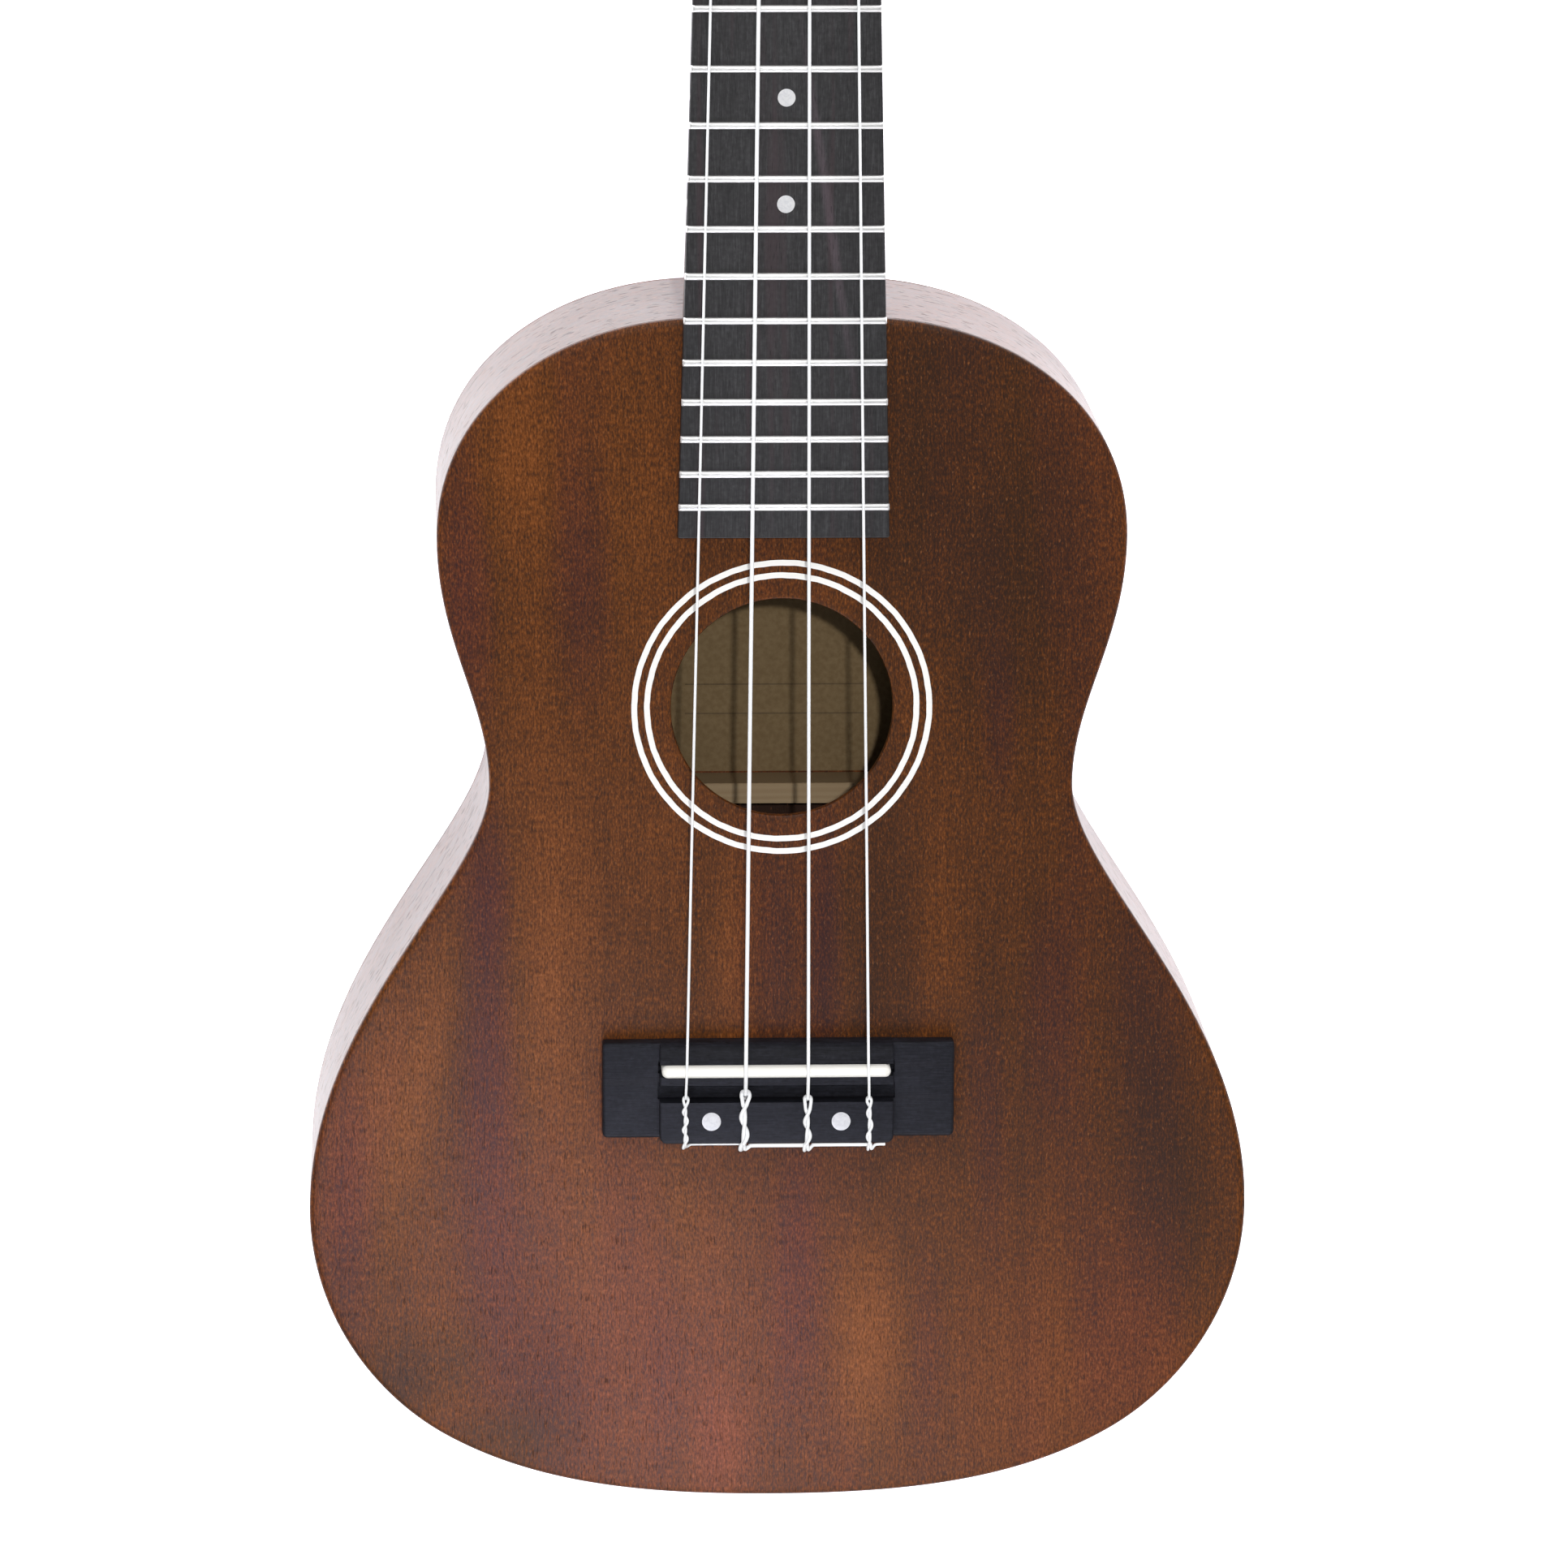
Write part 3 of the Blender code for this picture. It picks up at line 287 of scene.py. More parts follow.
def spruce(name, order="xyz", attribute=None, pale=1.0, late=(0.33, 0.205, 0.10)):
    m = Mat(name)
    p = m.coords(attribute)
    axis = dict(zip("xyz", m.split(p)))
    across, along, third = (axis[c] for c in order)
    a = fibres(m, across, along, third, 1.5)
    rings = stretched(m, a, along, third, 0.9, 160, 60, 1.0)
    hair = stretched(m, a, along, third, 0.3, 9, 3, 2.0)
    c = m.ramp(m.span(rings, 0.40, 0.66), ((0.0, (0.50 * pale, 0.355 * pale, 0.20 * pale)),
                                           (1.0, tuple(x * pale for x in late))))
    c = m.mix(m.math("MULTIPLY", hair, 0.35), c, (0.62 * pale, 0.47 * pale, 0.29 * pale))
    return m.set(color=c, rough=m.math("MULTIPLY_ADD", hair, 0.15, 0.62), normal=m.bump(hair, 0.3, 0.0001))


def dark_wood(name, base, warm, streak=0.4, rough=0.5, order="xyz", spec=0.35, vein=None):
    """Dense, almost black wood with faint lighter and reddish streaks. vein is one slanted pale
    streak: x, y, half width, half length, lean."""
    m = Mat(name)
    p = m.coords()
    axis = dict(zip("xyz", m.split(p)))
    across, along, third = (axis[c] for c in order)
    a = fibres(m, across, along, third, 2.0)
    band = stretched(m, a, along, third, 3.4, 120, 12, 2.0)
    hair = stretched(m, a, along, third, 0.30, 6.5, 2, 3.0, 0.65)
    spot = m.noise(p, 1.0, 2.0, 0.6)
    c = m.ramp(m.math("MULTIPLY_ADD", m.math("SUBTRACT", spot, 0.5), 0.5, hair),
               ((0.30, tuple(x * 0.62 for x in base)), (0.52, base), (0.72, tuple(x * 1.65 for x in base))))
    c = m.mix(m.math("MULTIPLY", m.span(band, 0.52, 0.70), streak), c, warm)
    if vein:
        x, y, sx, sy, lean = vein
        dy = m.math("SUBTRACT", along, y)
        dx = m.math("MULTIPLY_ADD", dy, -lean, m.math("SUBTRACT", across, x))
        d = m.vec("LENGTH", m.join(m.math("MULTIPLY", dx, 1 / sx), m.math("MULTIPLY", dy, 1 / sy), 0.0))
        on = m.math("MULTIPLY", m.span(d, 0.3, 1.6, 1.0, 0.0), m.math("MULTIPLY_ADD", hair, 0.9, 0.1))
        c = m.mix(on, c, tuple(x * k for x, k in zip(base, (3.3, 2.5, 2.8))))
    pore = m.span(stretched(m, a, along, third, 0.2, 2.2, 1.0, 1.0), 0.62, 0.70)
    c = m.mix(m.math("MULTIPLY", pore, 0.6), c, tuple(x * 0.3 for x in base))
    h = m.math("MULTIPLY_ADD", pore, -1.0, m.math("MULTIPLY", hair, 0.5))
    return m.set(color=c, rough=m.math("MULTIPLY_ADD", hair, 0.2, rough - 0.1),
                 normal=m.bump(h, 0.3, 0.0001), spec=spec)


def metal(name, base, rough=0.22, order="xyz", brush=0.5, tarnish=0.12):
    m = Mat(name)
    p = m.coords()
    axis = dict(zip("xyz", m.split(p)))
    across, along, third = (axis[c] for c in order)
    line = stretched(m, across, along, third, 0.05, 3.0, 0.05, 2.0)
    cloud = m.noise(p, 0.6, 3.0, 0.6)
    c = m.mix(m.math("MULTIPLY", m.span(cloud, 0.45, 0.75), tarnish), (*base,), tuple(x * 0.62 for x in base))
    r = m.math("MULTIPLY_ADD", cloud, 0.16, rough - 0.06)
    return m.set(color=c, rough=r, metal=1.0, normal=m.bump(line, 0.12 * brush, 0.00002))


def pearl(name, base, tint, rough=0.22, size=1.6, coat=0.4):
    """Clouded mother-of-pearl plastic."""
    m = Mat(name)
    p = m.coords()
    n1 = m.noise(p, 1 / size, 3.0, 0.55, 1.6)
    n2 = m.noise(m.vec("ADD", p, (11.0, 3.0, 7.0)), 0.4 / size, 2.0, 0.5, 2.5)
    c = m.mix(m.span(n1, 0.38, 0.66), (*base,), (*tint,))
    c = m.mix(m.math("MULTIPLY", m.span(n2, 0.45, 0.65), 0.35), c, tuple(min(1.0, x * 1.12) for x in base))
    return m.set(color=c, rough=m.math("MULTIPLY_ADD", n1, 0.12, rough - 0.05), coat=coat, coat_rough=0.12)


def bone(name, base=(0.86, 0.85, 0.80)):
    m = Mat(name)
    p = m.coords()
    n1 = m.noise(p, 0.35, 3.0, 0.6)
    lines = m.noise(m.vec("MULTIPLY", p, (0.15, 2.2, 1.0)), 1.0, 2.0)
    c = m.mix(m.math("MULTIPLY", m.span(lines, 0.45, 0.75), 0.18), (*base,), (0.74, 0.70, 0.60))
    c = m.mix(m.math("MULTIPLY", m.span(n1, 0.5, 0.8), 0.15), c, (0.93, 0.92, 0.89))
    return m.set(color=c, rough=m.math("MULTIPLY_ADD", n1, 0.15, 0.27), normal=m.bump(n1, 0.05, 0.0001))


def nylon(name, base=(0.88, 0.89, 0.90)):
    m = Mat(name)
    p = m.coords()
    n1 = m.noise(p, 0.5, 2.0, 0.5)
    c = m.mix(m.math("MULTIPLY", n1, 0.25), (*base,), (0.80, 0.81, 0.84))
    return m.set(color=c, rough=m.math("MULTIPLY_ADD", n1, 0.12, 0.24), spec=0.6)


def paper(name):
    """Plain label paper with two thin ruled lines."""
    m = Mat(name)
    p = m.coords()
    x, y, _ = m.split(p)
    n1 = m.noise(p, 0.8, 4.0, 0.65)
    n2 = m.noise(p, 0.05, 2.0, 0.5)
    c = m.mix(m.span(n1, 0.3, 0.7), (0.155, 0.103, 0.050), (0.205, 0.142, 0.074))
    c = m.mix(m.math("MULTIPLY", n2, 0.4), c, (0.150, 0.105, 0.052))
    lines = None
    for y0, x0, x1 in ((73.0, -20.0, 22.0), (66.0, -20.0, 22.0)):
        on = m.math("LESS_THAN", m.math("ABSOLUTE", m.math("SUBTRACT", y, y0)), 0.16)
        on = m.math("MULTIPLY", on, m.math("GREATER_THAN", x, x0))
        on = m.math("MULTIPLY", on, m.math("LESS_THAN", x, x1))
        lines = on if lines is None else m.math("ADD", lines, on)
    c = m.mix(m.math("MULTIPLY", lines, 0.45), c, (0.03, 0.025, 0.02))
    return m.set(color=c, rough=m.math("MULTIPLY_ADD", n1, 0.1, 0.75), normal=m.bump(n1, 0.15, 0.0001), spec=0.2)


# ------------------------------------------------------------------ mesh tools
def from_bm(name, bm, smooth=None, recalc=True):
    if recalc:
        bmesh.ops.recalc_face_normals(bm, faces=bm.faces)
    me = bpy.data.meshes.new(name)
    bm.to_mesh(me)
    bm.free()
    if smooth is not None:
        me.shade_smooth()
        me.set_sharp_from_angle(angle=math.radians(smooth))
    return me


def loft(name, rings, smooth=35, caps=True, closed=False):
    """Skin over rings of equal length (mm). closed joins the last ring to the first."""
    bm = bmesh.new()
    rows = [[bm.verts.new(Vector(p) * MM) for p in ring] for ring in rings]
    n = len(rings[0])
    pairs = list(zip(rows, rows[1:])) + ([(rows[-1], rows[0])] if closed else [])
    for a, b in pairs:
        for i in range(n):
            bm.faces.new((a[i], a[(i + 1) % n], b[(i + 1) % n], b[i]))
    if caps and not closed:
        bm.faces.new(rows[0])
        bm.faces.new(rows[-1])
    return from_bm(name, bm, smooth)


def turned(name, profile, n=48, smooth=35):
    """Solid of revolution about Z: profile of (radius, z) in mm, bottom to top."""
    rings = [[(r * math.cos(2 * math.pi * i / n), r * math.sin(2 * math.pi * i / n), z) for i in range(n)]
             for r, z in profile]
    return loft(name, rings, smooth)


def turned_ring(name, profile, n=64, smooth=35):
    """Ring of revolution about Z from a closed (radius, z) profile."""
    rings = []
    for i in range(n):
        a = 2 * math.pi * i / n
        rings.append([(r * math.cos(a), r * math.sin(a), z) for r, z in profile])
    return loft(name, rings, smooth, closed=True)


def add(name, mesh, mat, body="root", matrix=None, replaces=()):
    ob = bpy.data.objects.new(name, mesh)
    bpy.context.scene.collection.objects.link(ob)
    if matrix is not None:
        mesh.transform(matrix)
        if matrix.determinant() < 0:
            mesh.flip_normals()
    mesh.materials.clear()
    mesh.materials.append(mat)
    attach(ob, body)
    if replaces:
        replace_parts(ob, *replaces)
    return ob


def cut(mesh, tools, operation="DIFFERENCE", smooth=35):
    """Boolean result of mesh with a list of tool meshes, as a new mesh."""
    scene = bpy.context.scene.collection
    ob = bpy.data.objects.new("work", mesh)
    scene.objects.link(ob)
    made = []
    for t in tools:
        to = bpy.data.objects.new("tool", t)
        scene.objects.link(to)
        made.append(to)
        mod = ob.modifiers.new("b", "BOOLEAN")
        mod.operation = operation
        mod.solver = "EXACT"
        mod.object = to
    dg = bpy.context.evaluated_depsgraph_get()
    out = bpy.data.meshes.new_from_object(ob.evaluated_get(dg))
    for o in made + [ob]:
        bpy.data.objects.remove(o, do_unlink=True)
    out.name = mesh.name
    out.shade_smooth()
    out.set_sharp_from_angle(angle=math.radians(smooth))
    return out


def rounded(mesh, width, segments=3, angle=35):
    """Mesh with its edges rounded by width mm."""
    ob = bpy.data.objects.new("work", mesh)
    bpy.context.scene.collection.objects.link(ob)
    mod = ob.modifiers.new("bevel", "BEVEL")
    mod.width = width * MM
    mod.segments = segments
    mod.limit_method = "ANGLE"
    mod.angle_limit = math.radians(angle)
    mod.harden_normals = False
    dg = bpy.context.evaluated_depsgraph_get()
    out = bpy.data.meshes.new_from_object(ob.evaluated_get(dg))
    bpy.data.objects.remove(ob, do_unlink=True)
    out.name = mesh.name
    out.shade_smooth()
    out.set_sharp_from_angle(angle=math.radians(angle))
    return out


def smooth_surface(mesh, levels=2):
    ob = bpy.data.objects.new("work", mesh)
    bpy.context.scene.collection.objects.link(ob)
    mod = ob.modifiers.new("sub", "SUBSURF")
    mod.levels = levels
    mod.render_levels = levels
    dg = bpy.context.evaluated_depsgraph_get()
    out = bpy.data.meshes.new_from_object(ob.evaluated_get(dg))
    bpy.data.objects.remove(ob, do_unlink=True)
    out.name = mesh.name
    out.shade_smooth()
    return out


def box_mesh(name, lo, hi):
    bm = bmesh.new()
    bmesh.ops.create_cube(bm, size=1.0)
    for v in bm.verts:
        v.co = Vector([(a + b) / 2 + c * (b - a) for a, b, c in zip(lo, hi, v.co)]) * MM
    return from_bm(name, bm)


def rod_mesh(name, r, z0, z1, n=32):
    return turned(name, ((r, z0), (r, z1)), n)


def prism(name, pts, z0, z1, smooth=35):
    """Closed outline (x, y) extruded from z0 to z1."""
    return loft(name, [[(x, y, z0) for x, y in pts], [(x, y, z1) for x, y in pts]], smooth)


def turn_to(mesh, rows):
    mesh.transform(Matrix(rows))
    return mesh


X_ROWS = ((0, 0, 1, 0), (1, 0, 0, 0), (0, 1, 0, 0), (0, 0, 0, 1))   # (y, z) profile along x


def bezier(p0, p1, p2, p3, t):
    s = 1 - t
    return tuple(s * s * s * a + 3 * s * s * t * b + 3 * s * t * t * c + t * t * t * d
                 for a, b, c, d in zip(p0, p1, p2, p3))


def slope(p0, p1, p2, p3, t):
    s = 1 - t
    return tuple(3 * s * s * (b - a) + 6 * s * t * (c - b) + 3 * t * t * (d - c)
                 for a, b, c, d in zip(p0, p1, p2, p3))


# ------------------------------------------------------------------ body outline
def half_outline():
    ca, sa = math.cos(HIP_ANGLE), math.sin(HIP_ANGLE)
    segs = (
        ((0, TAIL_Y), (TAIL_H, TAIL_Y), (HIP_X - ca * HIP_IN, HIP_Y - sa * HIP_IN), (HIP_X, HIP_Y), 36),
        ((HIP_X, HIP_Y), (HIP_X + ca * HIP_OUT, HIP_Y + sa * HIP_OUT), (LOWER_X, LOWER_Y - LOWER_DOWN),
         (LOWER_X, LOWER_Y), 30),
        ((LOWER_X, LOWER_Y), (LOWER_X, LOWER_Y + LOWER_UP), (WAIST_X, WAIST_Y - WAIST_DOWN), (WAIST_X, WAIST_Y), 48),
        ((WAIST_X, WAIST_Y), (WAIST_X, WAIST_Y + WAIST_UP), (UPPER_X, UPPER_Y - UPPER_DOWN), (UPPER_X, UPPER_Y), 26),
        ((UPPER_X, UPPER_Y), (UPPER_X, UPPER_Y + UPPER_UP), (NECK_END_H, NECK_END_Y), (NECK_END_FLAT, NECK_END_Y), 44),
    )
    out = []
    for p0, p1, p2, p3, n in segs:
        for i in range(n):
            t = max(i / n, 1e-4)
            x, y = bezier(p0, p1, p2, p3, i / n)
            tx, ty = slope(p0, p1, p2, p3, t)
            ln = math.hypot(tx, ty)
            out.append((x, y, ty / ln, -tx / ln))
    for x in (NECK_END_FLAT, 9.0, 0.0):
        out.append((x, NECK_END_Y, 0.0, 1.0))
    out[0] = (0.0, TAIL_Y, 0.0, -1.0)
    return out


HALF = half_outline()


def outline(d=0.0):
    right = [(x - nx * d, y - ny * d) for x, y, nx, ny in HALF]
    right[0] = (0.0, right[0][1])
    right[-1] = (0.0, right[-1][1])
    return right + [(-x, y) for x, y in reversed(right[1:-1])]


def edge_round(r, z_top, steps=7, sign=-1):
    """(inset, z) down a rounded edge from the flat face at z_top."""
    out = []
    for i in range(steps + 1):
        a = math.pi / 2 * i / steps
        out.append((r * (1 - math.sin(a)), z_top + sign * r * (1 - math.cos(a))))
    return out


def plate(name, profile, hole=None):
    """Plate with the body's outline. profile is (inset, z) from one face round to the other.
    hole is a like profile of (radius, z) for the sound hole, in the same order."""
    bm = bmesh.new()
    rings = []
    for d, z in profile:
        rings.append([bm.verts.new((x * MM, y * MM, z * MM)) for x, y in outline(d)])
    n = len(rings[0])
    for a, b in zip(rings, rings[1:]):
        for i in range(n):
            bm.faces.new((a[i], a[(i + 1) % n], b[(i + 1) % n], b[i]))
    if not hole:
        bm.faces.new(rings[0])
        bm.faces.new(rings[-1])
        return from_bm(name, bm, 30)
    k = 120
    inner = []
    for r, z in hole:
        inner.append([bm.verts.new((r * math.sin(2 * math.pi * i / k) * MM,
                                    (HOLE_Y - r * math.cos(2 * math.pi * i / k)) * MM, z * MM)) for i in range(k)])
    for a, b in zip(inner, inner[1:]):
        for i in range(k):
            bm.faces.new((a[i], b[i], b[(i + 1) % k], a[(i + 1) % k]))
    top = len(HALF) - 1
    for outer, mid in ((rings[0], inner[0]), (rings[-1], inner[-1])):
        right = outer[0:top + 1] + [mid[k // 2 - j] for j in range(0, k // 2 + 1)]
        left = outer[top:] + [outer[0]] + mid[0:1] + [mid[k - j] for j in range(1, k // 2 + 1)]
        bm.faces.new(right)
        bm.faces.new(left)
    return from_bm(name, bm, 30)


# ------------------------------------------------------------------ finishes
TOP_STREAKS = (
    # x, y, half width, half length, lean, tone, purple
    (-44.0, -58.0, 46.0, 50.0, 0.00, 0.14, 0.35),
    (-8.0, -88.0, 32.0, 40.0, 0.00, 0.08, 0.35),
    (70.0, -84.0, 44.0, 42.0, 0.00, 0.18, 0.20),
    (48.0, 30.0, 34.0, 78.0, 0.00, -0.15, 0.00),
    (-73.0, 106.0, 5.5, 26.0, 0.00, -0.02, 0.55),
    (-60.5, 142.0, 9.0, 28.0, 0.00, 0.22, -0.50),
    (-48.0, 138.0, 5.0, 30.0, 0.00, 0.04, 0.05),
    (-45.5, 106.0, 7.0, 26.0, 0.00, -0.13, 0.45),
    (-31.0, 124.0, 9.0, 42.0, 0.00, 0.10, -0.35),
    (-55.0, 66.0, 12.0, 40.0, 0.00, 0.06, -0.45),
    (-28.0, 50.0, 10.0, 22.0, 0.00, 0.08, -0.45),
    (28.0, 138.0, 10.0, 40.0, 0.00, -0.22, 0.00),
    (44.0, 132.0, 16.0, 52.0, 0.00, -0.20, -0.20),
    (61.0, 118.0, 13.0, 44.0, 0.00, -0.16, 0.00),
    (48.0, 104.0, 10.0, 30.0, 0.00, -0.06, 0.00),
    (37.0, 66.0, 8.0, 34.0, 0.00, 0.08, -0.45),
    (50.0, 73.0, 4.5, 20.0, 0.00, -0.06, 0.40),
    (58.5, 62.0, 6.0, 34.0, 0.00, 0.05, -0.40),
    (46.0, 40.0, 9.0, 34.0, 0.00, 0.06, -0.35),
    (-67.5, 38.0, 6.5, 18.0, 0.05, -0.09, 0.65),
    (-66.5, 4.0, 6.5, 30.0, 0.00, -0.05, 0.75),
    (-65.5, -40.0, 8.5, 42.0, -0.05, -0.06, 0.80),
    (-46.0, -38.0, 5.0, 30.0, -0.05, 0.05, -0.25),
    (-82.0, -6.0, 4.5, 38.0, 0.17, 0.12, -0.45),
    (-92.0, -14.0, 10.0, 30.0, 0.20, 0.24, 0.20),
    (-99.5, -36.0, 6.0, 26.0, 0.00, -0.04, 0.60),
    (-53.0, 16.0, 9.0, 42.0, 0.02, 0.22, -0.50),
    (-25.0, 20.0, 9.0, 34.0, 0.00, 0.00, -0.40),
    (-11.0, 18.0, 5.0, 30.0, 0.00, 0.17, 0.00),
    (-0.5, 24.0, 5.0, 30.0, 0.00, -0.14, 0.45),
    (10.5, 24.0, 4.0, 30.0, 0.00, -0.22, 0.50),
    (23.0, 26.0, 7.5, 38.0, 0.00, -0.13, -0.25),
    (37.5, 22.0, 6.0, 26.0, 0.00, 0.17, -0.20),
    (36.5, -36.0, 6.5, 34.0, -0.02, 0.04, -0.25),
    (48.5, -18.0, 4.0, 34.0, -0.05, -0.06, 0.40),
    (62.0, 8.0, 5.5, 28.0, -0.02, -0.05, 0.45),
    (84.0, -66.0, 11.0, 30.0, 0.00, 0.00, 0.45),
    (81.0, 10.0, 8.0, 26.0, -0.14, -0.14, 0.10),
    (91.0, -32.0, 11.0, 36.0, -0.10, -0.30, -0.15),
    (3.0, -54.0, 5.5, 32.0, 0.02, -0.06, 0.85),
    (20.0, -70.0, 8.0, 26.0, 0.02, 0.32, -0.75),
    (35.0, -68.0, 4.0, 26.0, 0.00, -0.06, 0.35),
    (-21.0, -44.0, 9.0, 28.0, 0.00, 0.06, -0.35),
    (-13.0, -97.0, 8.0, 16.0, 0.00, 0.17, 0.35),
    (-86.0, -78.0, 13.0, 11.0, 0.60, -0.20, -0.55),
    (-60.0, -93.0, 12.0, 8.0, 0.30, -0.10, -0.45),
    (-54.0, -82.0, 12.0, 20.0, 0.00, -0.09, 0.35),
    (-25.0, -74.0, 5.0, 26.0, 0.00, -0.10, 0.30),
    (72.5, -60.0, 5.0, 40.0, -0.04, -0.10, 0.30),
    (44.0, 162.0, 16.0, 12.0, 0.00, -0.13, 0.00),
)
mat_top = mahogany("mahogany_top", streaks=TOP_STREAKS, level=0.415, spread=0.34, purple=0.30, rough=0.38, gloss=0.13,
                   speckle=1.6)
# inner=(41.0, 9.5, -0.6) paints the back brace's shadow as a darker band on the back's inside face
mat_back = mahogany("mahogany_back", level=0.50, spread=0.9, gloss=0.25, inner=(41.0, 9.5, -0.6))
mat_side = mahogany("mahogany_side", order="zyx", attribute="grain", level=0.45, spread=0.6, rough=0.36, gloss=0.3)
mat_side.node_tree.nodes["Principled BSDF"].inputs["Coat Weight"].default_value = 0.18
mat_side.node_tree.nodes["Principled BSDF"].inputs["Coat Roughness"].default_value = 0.18
mat_neck = mahogany("mahogany_neck", level=0.48, spread=0.6, purple=0.2, gloss=0.25)
mat_spruce_x = spruce("spruce_brace", order="yxz", pale=0.66, late=(0.43, 0.29, 0.155))
mat_spruce_z = spruce("spruce_block", order="xzy")
mat_spruce_arc = spruce("spruce_lining", order="zyx", attribute="grain")
mat_board = dark_wood("fretboard_wood", (0.0245, 0.0238, 0.0252), (0.036, 0.0235, 0.0270), 0.7, 0.52,
                      vein=(9.6, 194.0, 1.0, 34.0, -0.15))
mat_bridge = dark_wood("bridge_wood", (0.0108, 0.0110, 0.0148), (0.018, 0.017, 0.021), 0.35, 0.50, order="yxz", spec=0.12)
mat_veneer = dark_wood("veneer_wood", (0.026, 0.025, 0.027), (0.045, 0.035, 0.034), 0.45, 0.42)
mat_bone = bone("bone")
mat_ring = bone("rosette_white", (0.86, 0.85, 0.83))
mat_nylon = nylon("nylon")
mat_fret = metal("fret_wire", (0.90, 0.895, 0.88), 0.46, order="yxz", brush=0.8, tarnish=0.06)
mat_nickel = metal("nickel", (0.80, 0.79, 0.77), 0.24)
mat_brass = metal("brass_gear", (0.72, 0.52, 0.26), 0.30, tarnish=0.3)
mat_steel = metal("screw_steel", (0.68, 0.67, 0.66), 0.30)
mat_dot = pearl("pearl_dot", (0.62, 0.62, 0.63), (0.54, 0.545, 0.57), 0.32, 1.2, 0.2)
mat_inlay = pearl("pearl_inlay", (0.62, 0.62, 0.65), (0.54, 0.54, 0.575), 0.34, 1.2, 0.15)
mat_button = pearl("pearl_button", (0.64, 0.62, 0.57), (0.50, 0.49, 0.47), 0.22, 3.5)
mat_label = paper("label_paper")

# ------------------------------------------------------------------ body shell
R_EDGE = 1.1
top_profile = [(3.2, TOP_Z), (2.0, TOP_Z)] + edge_round(R_EDGE, TOP_Z) + [(0.0, DEPTH - TOP_T + 0.14),
                                                                         (0.14, DEPTH - TOP_T), (2.2, DEPTH - TOP_T)]
hole_profile = [(HOLE_R + 1.6, TOP_Z), (HOLE_R + 0.45, TOP_Z), (HOLE_R + 0.16, TOP_Z - 0.08), (HOLE_R, TOP_Z - 0.36),
                (HOLE_R, DEPTH - TOP_T + 0.25), (HOLE_R + 0.2, DEPTH - TOP_T), (HOLE_R + 0.9, DEPTH - TOP_T)]
add("soundboard_fine", plate("soundboard_fine", top_profile, hole_profile), mat_top,
    replaces=["soundboard"])
back_profile = [(2.2, BACK_T), (0.14, BACK_T), (0.0, BACK_T - 0.14)]
back_profile += [(d, z) for d, z in reversed(edge_round(R_EDGE, 0.0, sign=1))] + [(2.0, 0.0), (3.2, 0.0)]
add("back_fine", plate("back_fine", back_profile), mat_back, replaces=["back_plate"])


def arc_lengths():
    s, out = 0.0, [0.0]
    for a, b in zip(HALF, HALF[1:]):
        s += math.hypot(b[0] - a[0], b[1] - a[1])
        out.append(s)
    return out


ARC = arc_lengths()


def strip(name, d0, d1, z0, z1, side, lo=0, hi=None, chamfer=0.14, end_gap=0.02):
    """Bent strip along one half of the outline, with grain coordinates stored on it."""
    hi = len(HALF) - 1 if hi is None else hi
    rings, grain = [], []
    for i in range(lo, hi + 1):
        x, y, nx, ny = HALF[i]
        ring = []
        for d, z in ((d0, z0 + chamfer), (d0, z1 - chamfer), (d0 + chamfer, z1), (d1, z1), (d1, z0),
                     (d0 + chamfer, z0)):
            px = x - nx * d
            if i == 0 or i == len(HALF) - 1:
                px = end_gap
            ring.append((side * px, y - ny * d, z))
            grain.append((z * MM, (ARC[i] + (700 if side < 0 else 0)) * MM, d * MM))
        rings.append(ring)
    me = loft(name, rings, 30)
    at = me.attributes.new("grain", "FLOAT_VECTOR", "POINT")
    at.data.foreach_set("vector", [c for g in grain for c in g])
    return me


for nm, sd in (("rib_bass", -1), ("rib_treble", 1)):
    add(nm + "_fine", strip(nm + "_fine", 0.0, RIB_T, BACK_T, DEPTH - TOP_T, sd), mat_side,
        replaces=[nm])


def index_from(test):
    pick = [i for i, h in enumerate(HALF) if test(h[0], h[1])]
    return pick[0], pick[-1]


